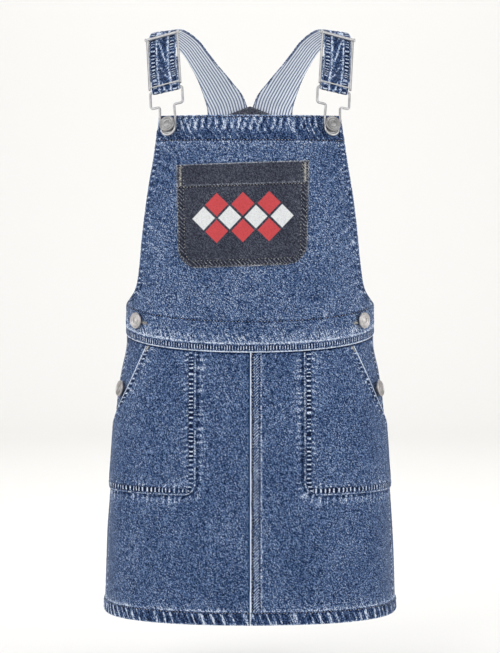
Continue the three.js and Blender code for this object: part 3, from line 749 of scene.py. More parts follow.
# A groove along the row, with painted shade in it
bib.raiseBy(-0.3 * line(bib.low, bibWaistStitch, 1.0), -0.25 * line(bib.low, bibWaistStitch, 1.6))
leaned = bib.arc + 0.4 * bib.low
tucked = between(bib.low, 10.5, 19, 5)
bib.ropePhase = np.where(tucked > 0, leaned / 6.2 + 1.2 * noise1(leaned / 14, 97), bib.ropePhase)
bib.ropePower = bib.ropePower + 0.7 * tucked * noise1(leaned / 9, 99)
bib.raiseBy(0.4 * tucked * np.cos(2 * np.pi * bib.ropePhase), 0.25 * tucked)
pucker = streaks(bib.arc, bib.low, 3.2, 9, 98, 0.5, 0.8) * between(bib.low, 29, 38, 5)
bib.raiseBy(0.3 * pucker, 0.5 * pucker)
for distance in (bibSides, bib.low, bib.high):
    bib.roundEdge(distance)
sew("bibFront", "bib_front", bib, bibDenim, ["hook_left", "hook_right"])


def backEdge(level):
    return np.minimum(read(backBibEdge, "turn", level), np.pi - backSeam(level))


backBib = Panel(stops(sideHem, sideHem, 220, spacing["back"]),
                stops(([widths["waistFell"]], 14), sideHem, 240, spacing["back"]),
                *around(np.pi, backEdge), aboveWaist, flatTurn(levels["backTop"]))
backSides = np.minimum(backBib.left, backBib.right)
backBorder = np.minimum(backSides, backBib.high)
backBib.raiseBy(cloth["foldRise"] * np.maximum(
    folded(backBorder, widths["edgeHem"]), folded(backBib.low, widths["waistFell"])))
ladder(backBib, backBib.low, backBib.arc, pitch=2.9, seed=83, strong=1.0, loose=0.25, spillPitch=2.1)
ladder(backBib, np.where(backBib.low > 12, backBorder, 99), backBib.level + backBib.arc,
       pitch=6.2, seed=93, strong=0.6)
sew("bibBack", "bib_back", backBib, bibDenim, ["strap_left", "strap_right"])
print("bibs made")

# Patch pockets, which lie on the cloth
onCloth = cloth["thick"] + cloth["layGap"]


def chestEdge(side):
    def edge(level):
        p = chestPocket
        middle = level - p["tilt"] * side * p["halfTop"]
        share = (middle - p["bottom"]) / (p["top"] - p["bottom"])
        half = p["halfBottom"] + share * (p["halfTop"] - p["halfBottom"])
        return turnAt(p["aside"] - side * cornered(-half, middle, p["bottom"], p["corner"]), level)
    return edge


def chestLevel(level):
    return lambda turn: level + chestPocket["tilt"] * (bareFigure(turn, level)[..., 0] - chestPocket["aside"])


def slant(level):
    p = handOpening
    share = (level - p["lowLevel"]) / (p["topLevel"] - p["lowLevel"])
    turn = turnAt(p["lowAcross"] + share * (p["topAcross"] - p["lowAcross"]), level)
    return np.where(level < p["lowLevel"], hipPocket["side"], np.minimum(turn, hipPocket["side"]))


chestHem, band = ([7], 9), chestPocket["topBand"]
chest = Panel(*(stops(chestHem, chestHem, long, spacing["fine"]) for long in (139, 110)),
              chestEdge(-1), chestEdge(1),
              *(chestLevel(chestPocket[key]) for key in ("bottom", "top")), onCloth)
chestSides = np.minimum(chest.left, chest.right)
chestBorder = np.minimum(np.minimum(chestSides, chest.low), chest.high)
chest.raiseBy(cloth["pocketRise"] * folded(chestBorder, chestHem[0][0]))
ladder(chest, np.minimum(chestSides, chest.low), chest.level + chest.arc, pitch=4.4, seed=111, strong=0.5)
chest.raiseBy(-0.3 * line(chest.high, band, 1.0),
              1.6 * line(chest.high, 0.1, 0.8) + 0.9 * line(chest.high, band - 1.5, 0.9))
sewRow(chest, chest.high - band)
chest.roundEdge(chestBorder)
sew("chestPocket", "chest_pocket", chest, chestDenim, ["bib_front"], "dark_denim")


# Turns a panel of the +X side over to the other one
def turnOver(panel):
    panel.turn, panel.arc = -panel.turn, -panel.arc


placket = dict(bottom=-446, top=-307, first=1.176, last=1.656)
hipHem = ([hipPocket["border"]], 11)
for side, name in bothSides:
    hip = Panel(stops(hipHem, hipHem, 100, spacing["front"]), stops(hipHem, ([], 3), 150, spacing["front"]),
                pocketInner, slant, flatTurn(hipPocket["bottom"]), lambda turn: waistSeam(turn) - 2, onCloth)
    border = np.minimum(hip.left, hip.low)
    openEdge = np.where(hip.level > handOpening["lowLevel"], hip.right, 99.0)
    hip.raiseBy(cloth["pocketRise"] * folded(np.minimum(border, hip.right), hipPocket["border"]))
    running = np.where(hip.left < hip.low, hip.level, hip.arc + 31)
    ladder(hip, border, running, pitch=4.7, seed=121 + side, strong=1.35)
    ladder(hip, openEdge, hip.level, pitch=5.4, seed=131 + side, strong=0.85)
    hip.raiseBy(0, (2.8 + 1.2 * noise1(hip.level / 4, 137)) * line(openEdge, 0.6, 1.0))
    hip.roundEdge(border)
    hip.roundEdge(openEdge)
    if side < 0:
        turnOver(hip)
    sew(f"hipPocket_{name}", f"hip_pocket_{name}", hip, pocketDenim, [f"skirt_front_{name}"])
for side, name in bothSides:
    strip = Panel(stops(None, None, 66, spacing["back"]), stops(None, None, 139, spacing["back"]),
                  *(flatTurn(placket[key]) for key in ("first", "last", "bottom", "top")), -onCloth)
    strip.raiseBy(0, 1.2 * line(np.minimum(strip.left, strip.right), 0, 1.2))
    if side < 0:
        turnOver(strip)
    sew(f"sidePlacket_{name}", f"side_placket_{name}", strip, skirtDenim, ["bib_back"])
print("pockets and plackets made")

# Straps, as sections from the chest over the shoulder to the back
strapSections = table(
    "x y z back down width",
    (93.7, -45, -48, 0.37, 0.1, 31.5), (95.2, -29, -19, 0.38, 0.03, 31.5),
    (94.4, -15.5, -5.6, 0.41, 0.02, 31.5), (88.8, 0, -2.2, 0.5, 0.1, 30.5), (79.5, 15, -6, 0.61, 0.26, 29.5),
    (67, 30, -15.5, 0.68, 0.38, 29), (57.3, 42, -28, 0.65, 0.4, 29.5), (48.8, 53, -40.5, 0.53, 0.38, 31),
    (41, 62, -52.5, 0.36, 0.36, 34), (34, 70, -65, 0.19, 0.33, 38.5), (28, 75, -77, 0.05, 0.3, 43.5),
    (25, 79, -88, 0, 0.27, 46.5), (23.5, 82, -100, 0, 0.24, 48), (22.5, 84, -114, 0, 0.22, 48.5))
strapCut = dict(returned=47, step=1.3, across=24, hiddenLevel=-70, liningShare=0.94)
hook = dict(wire=1.3, halfWidth=18.6, top=42, shoulder=22.5, halfNeck=8.2, halfBowl=8.8, bowl=8,
            ring=7.4, ringCentre=-4.2, corner=3, stand=6.6, forward=0.3, twist=0.07)
bibButton = dict(across=84, level=-111)

tackTurn = turnAt(bibButton["across"], bibButton["level"])
tack = onFigure(tackTurn, bibButton["level"], cloth["thick"] + cloth["foldRise"])
clothLook = figureNormal(tackTurn, bibButton["level"])
hookUp = unit(np.array([strapSections[0][axis] for axis in "xyz"], float) - tack)
hookLook = clothLook + (np.array([0, -1.0, 0]) - clothLook) * hook["forward"]
hookLook = unit(hookLook - hookUp * (hookLook @ hookUp))
hookUp = hookUp * np.cos(hook["twist"]) + np.cross(hookLook, hookUp) * np.sin(hook["twist"])
hookAcross = np.cross(hookUp, hookLook)
hookPlace = tack + hookLook * hook["stand"]
halfCloth = cloth["thick"] / 2
strapBend = hook["wire"] + cloth["seamGap"] + 0.1 + halfCloth
hookBar = hookPlace + hookUp * hook["top"] + hookLook * strapBend


# The middle line of the strap on the +X side, in even steps from the bar of the hook
def strapRun(step):
    points = np.array([hookBar, hookBar + hookUp * 10] + [[s["x"], s["y"], s["z"]] for s in strapSections])
    sideways = [[np.sqrt(1 - s["back"]**2 - s["down"]**2), s["back"], -s["down"]] for s in strapSections]
    sideways = np.array([hookAcross, hookAcross] + sideways)
    wide = np.array([strapSections[0]["width"]] * 2 + [s["width"] for s in strapSections], float)
    ends = np.concatenate([[2 * points[0] - points[1]], points, [2 * points[-1] - points[-2]]])
    gap = np.sqrt(np.linalg.norm(np.diff(ends, axis=0), axis=1))
    fine = np.linspace(0, 1, 60, endpoint=False)[:, None]
    curve, rows = [], []
    for i in range(len(points) - 1):
        a, b, c, d = ends[i:i + 4]
        before, here, after = gap[i:i + 3]
        leave = ((b - a) / before - (c - a) / (before + here) + (c - b) / here) * here
        arrive = ((c - b) / here - (d - b) / (here + after) + (d - c) / after) * here
        curve.append(b + leave * fine + (3 * (c - b) - 2 * leave - arrive) * fine**2
                     + (2 * (b - c) + leave + arrive) * fine**3)
        rows.append(i + fine[:, 0])
    curve = np.concatenate(curve + [points[-1:]])
    rows = np.concatenate(rows + [[len(points) - 1]])
    length = np.r_[0, np.cumsum(np.linalg.norm(np.diff(curve, axis=0), axis=1))]
    along = np.linspace(0, length[-1], round(length[-1] / step) + 1)

    def spread(where, at, values):
        return np.stack([np.interp(where, at, values[:, k]) for k in range(3)], 1)

    point, row = spread(along, length, curve), np.interp(along, length, rows)
    ahead = unit(np.gradient(point, axis=0))
    ahead[0] = hookUp
    aside = spread(row, np.arange(len(points)), sideways)
    aside = unit(aside - ahead * np.sum(aside * ahead, axis=1, keepdims=True))
    return dict(point=point, ahead=ahead, across=aside, look=np.cross(aside, ahead), along=along,
                width=np.interp(row, np.arange(len(points)), wide))


def strapPoint(run, share, out):
    share = share[None, :]
    p = (run["point"][:, None, :] + run["across"][:, None, :] * (share * run["width"][:, None] / 2)[..., None]
         + run["look"][:, None, :] * out[..., None])
    p[..., 0] = np.maximum(p[..., 0], (1 - np.minimum(share, 0)) * 0.5 * cloth["seamGap"])
    settle = smooth((-p[..., 2] + strapCut["hiddenLevel"]) / 16) * (p[..., 1] > 0)
    turn = np.pi - turnAt(p[..., 0], p[..., 2])
    behind = onFigure(turn, p[..., 2], out - cloth["seamGap"] - halfCloth)
    p[..., 1] += (behind[..., 1] - p[..., 1]) * settle
    return p


run = strapRun(strapCut["step"])
isReturned = (run["along"] > 4) & (run["along"] < strapCut["returned"])
returned = {key: value[isReturned][::-1] for key, value in run.items()}
returned["point"] = returned["point"] - 2 * strapBend * returned["look"]
returned["look"] = -returned["look"]
returned["along"] = -returned["along"] - np.pi * strapBend
foldAngles = np.linspace(0, np.pi, 13)[:-1, None]
foldLook = -run["look"][0] * np.cos(foldAngles) - run["ahead"][0] * np.sin(foldAngles)
turned = {key: np.repeat(value[:1], 12, 0) for key, value in run.items()}
turned.update(point=run["point"][0] - run["look"][0] * strapBend + foldLook * strapBend, look=foldLook,
              along=(foldAngles[:, 0] - np.pi) * strapBend)
wholeRun = {key: np.concatenate([part[key] for part in (returned, turned, run)]) for key in run}
shares = np.sort(np.r_[np.linspace(-1, 1, strapCut["across"] + 1), -0.975, 0.975, -0.56, 0.56])


class Strap:
    def __init__(self, run, shares, inner, outer):
        self.run, self.shares, self.innerOut, self.outerOut = run, shares, inner, outer
        self.across = shares[None, :] * run["width"][:, None] / 2
        self.along = np.repeat(run["along"][:, None], len(shares), 1)
        self.edge = run["width"][:, None] / 2 - np.abs(self.across)
        startFields(self, self.across.shape)

    raiseBy, roundEdge = Panel.raiseBy, Panel.roundEdge

    def points(self):
        return (strapPoint(self.run, self.shares, self.outerOut + self.relief),
                strapPoint(self.run, self.shares, self.innerOut + 0 * self.relief))


strap = Strap(wholeRun, shares, -halfCloth, halfCloth)
for side in (-1, 1):
    mine = np.where(side * strap.across > 0, strap.edge, 99.0)
    ladder(strap, mine, strap.along, pitch=4.5, seed=151 + side, strong=1.15, loose=0.8)
crest = 1.9 * line(strap.edge, 9.2, 1.0) * (0.4 + noise1(strap.along / 6, 155))
strap.raiseBy(0.35 * line(strap.edge, 9.2, 1.3), crest)
scratch = streaks(strap.across - 0.35 * strap.along, strap.along, 1.6, 16, 157, 0.55, 0.78)
core = between(strap.edge, 10.4, 99, 1.5)
strap.raiseBy(0.35 * core * (scratch - 0.4), core * (2.6 * scratch - 1.1))
strap.roundEdge(strap.edge)

stripes = dict(pitch=3.2, sharp=2.2, white=1.35, blue=(84, 101, 138), pale=(236, 242, 252))
ticking, flow = startMaterial("tickingLining")
flat = flow.node("ShaderNodeUVMap", {"uv_map": "clothFlat"})
apart = flow.node("ShaderNodeSeparateXYZ", {}, {"Vector": flat})
wobble = noisy(flow, flat, 0.05, 1.0) - 0.5
stripe = flow.maths("SINE", apart * (2 * np.pi / stripes["pitch"]) + wobble * 1.2)
yarn = noisy(flow, flat, 0.9, 2.0)
mask = (stripe * stripes["sharp"] + stripes["white"] + (yarn - 0.5) * 1.6).clamped()
tone = mixed(flow, mask, linear(stripes["blue"]), linear(stripes["pale"]))
finishMaterial(flow, {
    "Base Color": tone, "Roughness": 0.9, "Normal": bumped(flow, yarn), "Sheen Weight": 0.2})

liningRun = {key: value[run["along"] > strapCut["returned"] + 9] for key, value in run.items()}
liningOut = -halfCloth - cloth["seamGap"]
lining = Strap(liningRun, shares * strapCut["liningShare"], liningOut - cloth["lining"], liningOut)
for side, name in bothSides:
    for piece, node, source, material, slotName, rests in (
            ("strapDenim", "strap", strap, strapDenim, "denim", "hook"),
            ("strapLining", "strap_lining", lining, ticking, "ticking", "strap")):
        outer, inner = (part * [side, 1.0, 1.0] for part in source.points())
        flat = np.stack([source.across, source.along], -1)
        sewShell(f"{piece}_{name}", f"{node}_{name}", slotName, material, source, outer, inner, flat,
                 [f"{rests}_{name}"])

backPatch = dict(tip=-79, shoulderAcross=47, shoulder=-97, bottom=-128, step=1.6)


def patchTop(turn):
    share = np.abs(bareFigure(turn, backPatch["shoulder"])[..., 0]) / backPatch["shoulderAcross"]
    return backPatch["tip"] + (backPatch["shoulder"] - backPatch["tip"]) * np.minimum(share, 1)


patch = Panel(stops(None, None, 94, backPatch["step"]), stops(None, None, 40, backPatch["step"]),
              *around(np.pi, lambda level: turnAt(backPatch["shoulderAcross"], level)),
              flatTurn(backPatch["bottom"]), patchTop,
              -2 * cloth["seamGap"] - cloth["layGap"] - 2 * cloth["thick"] - cloth["lining"])
patch.raiseBy(0, 1.2 * line(patch.high, 0.3, 0.9) - 0.8 * line(patch.high, 3.0, 0.9))
sew("backPatch", "back_patch", patch, darkDenim, ["strap_left", "strap_right"], "dark_denim")
print("straps made")

# Threads: sizes of a stitch, and each thread's shades where it is bare and where dye has caught it
stitch = dict(long=2.3, gap=1.1, wide=0.42, proud=0.4, sunk=0.2)


def thread(name, bare, dyed):
    material, flow = startMaterial(name)
    patchy = noisy(flow, flow.node("ShaderNodeTexCoord", output="Object"), 420.0, 2.0, "3D")
    tone = mixed(flow, ((patchy - 0.42) * 5).clamped(), linear(bare), linear(dyed))
    finishMaterial(flow, {"Base Color": tone, "Roughness": patchy * 0.2 + 0.7,
                          "Normal": bumped(flow, patchy, 0.3, 0.0002)})
    return material


tanThread = thread("tanThread", (180, 178, 172), (82, 84, 89))
blueThread = thread("blueThread", (142, 154, 176), (48, 62, 88))


# The line on a cloth along which a distance is nought, with what keeps it: across rows or columns
def trace(piece, away, axis, keep=None):
    outer, normal = piece["outer"], unit(piece["outer"] - piece["inner"])
    keep = np.ones(away.shape) if keep is None else keep
    if axis == 1:
        outer, normal = outer.transpose(1, 0, 2), normal.transpose(1, 0, 2)
        away, keep = away.T, keep.T
    crossing = away[:-1] * away[1:] <= 0
    column = np.flatnonzero(crossing.any(axis=0))
    row = crossing.argmax(axis=0)[column]
    a, b = away[row, column], away[row + 1, column]
    t = a / np.where(a == b, 1, a - b)
    held = keep[row, column] * (1 - t) + keep[row + 1, column] * t > -0.05
    column, row, t = column[held], row[held], t[held][:, None]
    return (outer[row, column] * (1 - t) + outer[row + 1, column] * t,
            unit(normal[row, column] * (1 - t) + normal[row + 1, column] * t))


# Stitches one after another along a line, none where the line breaks off
def stitchesAlong(points, normals, long=stitch["long"], gap=stitch["gap"]):
    steps = np.linalg.norm(np.diff(points, axis=0), axis=1)
    length = np.r_[0, np.cumsum(steps)]
    at = np.arange(long, length[-1] - long / 2, long + gap)
    segment = np.searchsorted(length, at) - 1
    at = at[steps[np.clip(segment, 0, len(steps) - 1)] < 9]

    def reading(values, where):
        return np.stack([np.interp(where, length, values[:, k]) for k in range(3)], 1)

    first, last = reading(points, at - long / 2), reading(points, at + long / 2)
    return (first + last) / 2, (last - first) / 2, unit(reading(normals, at))


# Stitches that lie across a line, closely side by side
def stitchesAcross(points, normals, long, gap, slant=0.25):
    centre, half, normal = stitchesAlong(points, normals, gap, 0.001)
    ahead = unit(half)
    lean = np.where(np.arange(len(centre)) % 2, slant, -slant)[:, None]
    return centre, unit(np.cross(normal, ahead) + ahead * lean) * long / 2, normal


def sewThreads(name, runs, material, label):
    piece = cloths[name]
    centre, half, normal = (np.concatenate(part) for part in zip(*runs))
    aside = unit(np.cross(normal, half)) * stitch["wide"]
    down, up = normal * stitch["sunk"], normal * stitch["proud"]
    points = np.stack([centre - half - down, centre + aside, centre + half - down, centre - aside,
                       centre + up, centre - 2 * down], 1)
    corners = [[i, (i + 1) % 4, 4] for i in range(4)] + [[(i + 1) % 4, i, 5] for i in range(4)]
    faces = (np.arange(len(centre))[:, None, None] * 6 + np.array(corners)).reshape(-1, 3)
    points = points.reshape(-1, 3)
    first = points[faces[0]]
    if np.cross(first[1] - first[0], first[2] - first[0]) @ normal[0] < 0:
        faces = faces[:, ::-1]
    piece["threads"].append(
        meshObject(name + label, piece["node"], material, points, faces.tolist()))


def row(name, away, axis, keep=None):
    return stitchesAlong(*trace(cloths[name], away, axis, keep))


# Both rows of a double seam, each kept where its own condition holds
def pair(name, distance, axis, keep=lambda at: None):
    return [row(name, distance - at, axis, keep(at)) for at in doubleRows]


# A short line of close stitches from one place to another on a cloth
def tackBar(name, start, end, long, gap=0.55):
    source = cloths[name]["source"]
    across, level = np.linspace(start, end, 24).T
    turn = turnAt(across, level)
    out = source.out + source.thick + cloth["pocketRise"] + hang(turn, level) + 0.25
    return stitchesAcross(onFigure(turn, level, out), figureNormal(turn, level), long, gap)


for name in ("skirtFront_left", "skirtFront_right", "skirtBack"):
    panel = cloths[name]["source"]
    runs = [row(name, panel.low - (widths["hem"] - 1.3), 0)]
    if name == "skirtFront_right":
        runs += [row(name, panel.left - at, 1, panel.low - widths["hem"]) for at in fellRows]
    sewThreads(name, runs, tanThread, "Topstitch")
runs = [row("bibFront", away, 0) for away in (
    bib.high - 2.2, bib.high - (widths["bibHem"] - 1.3), bib.low - bibWaistStitch)]
sewThreads("bibFront", runs, tanThread, "Topstitch")
runs = pair("bibFront", bib.low, 0)
for edge in (bib.left, bib.right):
    runs += pair("bibFront", edge, 1, lambda at: bib.low - 12)
sewThreads("bibFront", runs, blueThread, "Seams")
runs = pair("bibBack", backBib.low, 0) + pair("bibBack", backBib.high, 0, lambda at: backSides - at)
for edge in (backBib.left, backBib.right):
    runs += pair("bibBack", edge, 1, lambda at: np.minimum(backBib.low - 12, backBib.high - at))
sewThreads("bibBack", runs, blueThread, "Seams")
runs = [row("chestPocket", chest.high - band, 0, chestSides - seam["near"])]
runs += pair("chestPocket", chest.low, 0, lambda at: chestSides - at)
for edge in (chest.left, chest.right):
    runs += pair("chestPocket", edge, 1, lambda at: chest.low - at)
for side in (-1, 1):
    x = chestPocket["aside"] + side * (chestPocket["halfTop"] - 4.5)
    top = chestPocket["top"] + side * chestPocket["tilt"] * chestPocket["halfTop"]
    runs.append(tackBar("chestPocket", (x, top - 1.5), (x, top - 23), 4.2, 0.9))
sewThreads("chestPocket", runs, tanThread, "Topstitch")
for side, name in bothSides:
    piece = f"hipPocket_{name}"
    hip = cloths[piece]["source"]
    runs = pair(piece, hip.left, 1, lambda at: hip.low - at)
    runs += pair(piece, hip.low, 0, lambda at: hip.left - at)
    runs += pair(piece, hip.right, 1, lambda at: hip.level - handOpening["lowLevel"])
    sewThreads(piece, runs, blueThread, "Seams")
    sewThreads(piece, [tackBar(piece, (side * 106, -345), (side * 110, -352), 3.4)], tanThread, "Tacks")
    runs = [tackBar("bibFront", (side * 115, -320), (side * 109, -321), long) for long in (4.4, 3.0)]
    sewThreads("bibFront", runs, tanThread, f"Buttonhole_{name}")
    runs = []
    for half in (-1, 1):
        runs += pair(f"strapDenim_{name}", np.where(half * strap.across > 0, strap.edge, 99.0), 1)
    sewThreads(f"strapDenim_{name}", runs, blueThread, "Seams")
print("threads sewn")

# Wire hooks, adjusters and tack buttons
def nickelFinish(name, worn, bright):
    material, flow = startMaterial(name)
    where = flow.node("ShaderNodeTexCoord", output="Object")
    grainy, cloudy = noisy(flow, where, 900.0, 3.0, "3D", 0.6), noisy(flow, where, 160.0, 3.0, "3D")
    tone = mixed(flow, (grainy * 0.6 + cloudy * 0.5 - 0.05).clamped(), linear(worn), linear(bright))
    finishMaterial(flow, {"Base Color": tone, "Metallic": 1.0, "Roughness": cloudy * 0.25 + 0.3,
                          "Normal": bumped(flow, grainy, 0.35, 0.0002)})
    return material


wireNickel = nickelFinish("wireNickel", (112, 112, 117), (230, 230, 230))
sideNickel = nickelFinish("buttonNickel", (96, 95, 98), (218, 214, 212))
bibNickel = nickelFinish("darkButtonNickel", (60, 60, 66), (190, 189, 188))


# Faces between rings of points, with shut ends unless the last ring meets the first
def ringFaces(count, sides, closed=False):
    i, j = np.meshgrid(np.arange(count if closed else count - 1), np.arange(sides), indexing="ij")
    n, k = (i + 1) % count, (j + 1) % sides
    faces = np.stack([i * sides + j, i * sides + k, n * sides + k, n * sides + j], -1).reshape(-1, 4).tolist()
    if not closed:
        faces += [list(range(sides))[::-1], list(range((count - 1) * sides, count * sides))]
    return faces


# A round wire along points that lie in the plane of x and y
def wire(points, radius, closed=False, sides=12):
    points = np.asarray(points, float)
    if closed:
        ahead = unit(np.roll(points, -1, 0) - np.roll(points, 1, 0))
    else:
        ahead = unit(np.gradient(points, axis=0))
    aside = unit(np.cross(np.broadcast_to([0, 0, 1.0], ahead.shape), ahead))
    other = np.cross(ahead, aside)
    angles = np.linspace(0, 2 * np.pi, sides, endpoint=False)[None, :, None]
    ring = points[:, None] + radius * (aside[:, None] * np.cos(angles) + other[:, None] * np.sin(angles))
    return ring.reshape(-1, 3), ringFaces(len(points), sides, closed)


# A profile of radius and height turned about the z axis
def turnedShape(profile, sides=40):
    profile = np.asarray(profile, float)
    angles = np.linspace(0, 2 * np.pi, sides, endpoint=False)
    ring = np.stack([profile[:, 0, None] * np.cos(angles), profile[:, 0, None] * np.sin(angles),
                     np.repeat(profile[:, 1, None], sides, 1)], -1)
    return ring.reshape(-1, 3), ringFaces(len(profile), sides)


def metalPiece(name, node, material, shapes, basis, origin, side):
    points, faces, start = [], [], 0
    for shape, shapeFaces in shapes:
        points.append(shape)
        faces += [[start + i for i in face] for face in shapeFaces]
        start += len(shape)
    points = (origin + np.concatenate(points) @ np.asarray(basis)) * np.array([side, 1, 1])
    if side < 0:
        faces = [face[::-1] for face in faces]
    meshObject(name, node, material, points, faces, 0.8)


# A path with its corners rounded off, apart from those marked as points of a curve
def rounded(corners, size, steps=6):
    made = []
    for i, (x, y, sharp) in enumerate(corners):
        here = np.array([x, y], float)
        if sharp:
            made.append(here)
            continue
        start = here + unit(np.array(corners[i - 1][:2], float) - here) * size
        end = here + unit(np.array(corners[(i + 1) % len(corners)][:2], float) - here) * size
        for t in np.linspace(0, 1, steps + 1):
            made.append(start * (1 - t)**2 + here * 2 * t * (1 - t) + end * t**2)
    return np.array([[x, y, 0] for x, y in made])


h = hook
ringPoints = [(h["ring"] * np.cos(a), h["ringCentre"] + h["ring"] * np.sin(a), True)
              for a in -np.pi * np.arange(21) / 20]
frameHalf = [(h["halfNeck"], h["shoulder"], False), (h["halfWidth"], h["shoulder"], False),
             (h["halfWidth"], h["top"], False)]
hookCorners = [(-x, y, sharp) for x, y, sharp in frameHalf] + frameHalf[::-1]
hookCorners += [(h["halfBowl"], h["bowl"], True)] + ringPoints + [(-h["halfBowl"], h["bowl"], True)]
hookLoop = wire(rounded(hookCorners, h["corner"]), h["wire"], True)
plateProfile = [(3.9, -0.65), (3.9, 0.65), (7.6, 0.65), (7.6, -0.65)]
plate = np.array([[r * np.cos(a), h["ringCentre"] + r * np.sin(a), z]
                  for a in np.linspace(np.pi, 2 * np.pi, 25) for r, z in plateProfile])
hookShapes = [hookLoop, (plate, ringFaces(25, len(plateProfile)))]

adjuster = dict(wire=1.3, bar=1.7, knob=2.4, crossWire=0.8, halfWidth=17.9, low=4, high=72.5,
                aside=-0.8, clear=1.1, skew=0.06)


def nearestStep(distance):
    return int(np.argmin(np.abs(run["along"] - distance)))


def heldPoint(distance, radius):
    i = nearestStep(distance)
    out = halfCloth + adjuster["clear"] + radius
    return run["point"][i] + run["look"][i] * out + run["across"][i] * adjuster["aside"]


a = adjuster
barPlace = heldPoint(a["high"], a["bar"])
rails = barPlace - heldPoint(a["low"], a["crossWire"])
railLength = np.linalg.norm(rails)
rails = unit(rails)
barAcross = run["across"][nearestStep((a["high"] + a["low"]) / 2)]
barAcross = unit(barAcross + rails * (a["skew"] - barAcross @ rails))


def rod(y, radius):
    return wire([[x, y, 0] for x in np.linspace(-a["halfWidth"], a["halfWidth"], 9)], radius)


ball = [(0.05, -1.0)] + [(np.cos(t), np.sin(t)) for t in np.linspace(-1.35, 1.35, 9)] + [(0.05, 1.0)]
knob, knobFaces = turnedShape(np.array(ball) * a["knob"], 20)
adjusterShapes = [rod(0, a["bar"]), rod(-railLength, a["crossWire"])]
railPath = np.linspace([0, 0, 0], [0, -railLength - 3, 0], 9)
for s in (-1, 1):
    adjusterShapes.append(wire(railPath + [s * a["halfWidth"], 0, 0], a["wire"]))
    adjusterShapes.append((knob[:, [2, 1, 0]] * [1, 1, -1] + [s * (a["halfWidth"] + 0.6), 0, 0], knobFaces))

# The face of a button: how far in from its rim, and how high above its back
button = dict(radius=8.8, shank=3.6, shankHeight=3.2)
buttonFace = [(0.7, 0), (0.15, 0.35), (0, 1.0), (0.1, 1.8), (0.6, 2.4), (1.2, 2.6), (1.8, 2.45),
              (2.2, 2.1), (2.9, 1.95), (3.3, 2.2), (4.0, 2.25), (4.4, 1.95), (5.8, 2.0), (6.2, 2.35),
              (7.0, 2.45), (8.6, 2.5)]


def buttonShapes(head, foot):
    shank = [(0.2, foot), (button["shank"], foot), (button["shank"], head)]
    return [turnedShape(shank + [(button["radius"] - inward, head + up) for inward, up in buttonFace])]


def buttonPlace(across, level, out, lean=0.0):
    turn = turnAt(across, level)
    normal = figureNormal(turn, level)
    away = unit(np.cross([0, 0, 1.0], normal))
    up = np.cross(normal, away)
    tilted = normal * np.cos(lean) - away * np.sin(lean)
    return [np.cross(up, tilted), up, tilted], onFigure(turn, level, out)


waistButton = dict(across=119, level=-318, out=cloth["thick"], lean=0.12)
hipButton = dict(across=136, level=-393, out=cloth["thick"])
hookBasis = [hookAcross, hookUp, hookLook]
railBasis = [barAcross, rails, unit(np.cross(barAcross, rails))]
bibShapes = buttonShapes(hook["stand"] + hook["wire"] + 0.3, 0.9)
waistShapes, hipShapes = (buttonShapes(button["shankHeight"], foot) for foot in (0.75, 0.3))
for side, name in bothSides:
    for piece, node, material, shapes, basis, origin in (
            (f"hook_{name}_wire", "hook", wireNickel, hookShapes, hookBasis, hookPlace),
            (f"adjuster_{name}_wire", "adjuster", wireNickel, adjusterShapes, railBasis, barPlace),
            (f"buttonBib_{name}", "button_bib", bibNickel, bibShapes, hookBasis, tack),
            (f"buttonWaist_{name}", "button_waist", sideNickel, waistShapes, *buttonPlace(**waistButton)),
            (f"buttonHip_{name}", "button_hip", sideNickel, hipShapes, *buttonPlace(**hipButton))):
        metalPiece(piece, f"{node}_{name}", material, shapes, basis, origin, side)
print("hardware made")

# Floor, light and camera, in metres
stage = dict(floor=-0.72, size=9.0, wall=4.2, high=6.0, shade=(236, 235, 233))
floorMaterial, flow = startMaterial("paleFloor")
finishMaterial(flow, {"Base Color": linear(stage["shade"]), "Roughness": 0.9})
bend = [(stage["wall"] + np.sin(a) - 1, 1 - np.cos(a)) for a in np.linspace(0, np.pi / 2, 13)]
profile = [(-stage["size"], 0)] + bend + [(stage["wall"], stage["high"])]
corners = [(x, y, stage["floor"] + z) for x in (-stage["size"], stage["size"]) for y, z in profile]
count = len(profile)
floorMesh = bpy.data.meshes.new("floor")
floorMesh.from_pydata(corners, [], [(i, i + 1, count + i + 1, count + i) for i in range(count - 1)])
floorMesh.materials.append(floorMaterial)
floorMesh.polygons.foreach_set("use_smooth", np.ones(count - 1, bool))
addObject("floor", floorMesh)

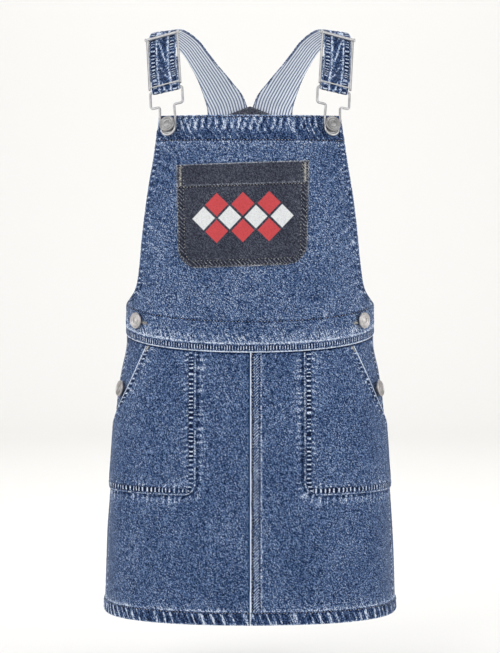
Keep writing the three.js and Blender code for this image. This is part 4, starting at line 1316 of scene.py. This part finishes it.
dressMiddle = (0, 0, -0.33)
lights = table(
    "name place size power aim",
    ("keyLight", (-1.5, -2.4, 1.2), 1.8, 33, dressMiddle),
    ("fillLight", (1.9, -2.2, 0.5), 2.0, 24, dressMiddle),
    ("topLight", (0.0, 0.2, 2.0), 1.6, 20, dressMiddle),
    ("sideLightLeft", (-2.4, -0.5, 0.1), 1.4, 17, dressMiddle),
    ("sideLightRight", (2.4, -0.5, 0.1), 1.4, 17, dressMiddle),
    ("wallLight", (0.0, 1.6, 2.4), 2.4, 52, (0, 4.2, -0.2)))
for light in lights:
    data = bpy.data.lights.new(light["name"], "AREA")
    data.size, data.energy = light["size"], light["power"]
    made = addObject(light["name"], data)
    made.location = light["place"]
    made.rotation_euler = (Vector(light["aim"]) - made.location).to_track_quat("-Z", "Y").to_euler()
world = bpy.data.worlds.new("softStudio")
world.use_nodes = True
world.node_tree.nodes["Background"].inputs[0].default_value = (1, 1, 1, 1)
world.node_tree.nodes["Background"].inputs[1].default_value = 0.5
bpy.context.scene.world = world

# The long side of the picture is 653 pixels, and the horizon lies above its middle.
view = dict(back=2.6, level=-0.226, sensor=36.0, pixels=2364.0, high=653.0, horizon=235.0)
camera = bpy.data.cameras.new("camera")
camera.sensor_width = view["sensor"]
camera.lens = view["sensor"] * view["pixels"] / view["high"]
camera.shift_y = (view["horizon"] - view["high"] / 2) / view["high"]
cameraObject = addObject("camera", camera)
cameraObject.location = (0, -view["back"], view["level"])
cameraObject.rotation_euler = (np.pi / 2, 0, 0)
bpy.context.scene.camera = cameraObject
bpy.context.scene.view_settings.view_transform = "Standard"

# What each cloth was cut to, of what shows, printed as its width, length and area
for name, piece in cloths.items():
    grid = piece["inner"] * metre
    rowSteps, columnSteps = np.diff(grid, axis=1), np.diff(grid, axis=0)
    wide = round(float(np.linalg.norm(rowSteps, axis=2).sum(axis=1).max()), 4)
    long = round(float(np.linalg.norm(columnSteps, axis=2).sum(axis=0).max()), 4)
    area = np.linalg.norm(np.cross(rowSteps[:-1], columnSteps[:, :-1]), axis=2).sum()
    area = min(round(float(area), 5), round(wide * long, 5))
    print("cut", name, wide, long, area)
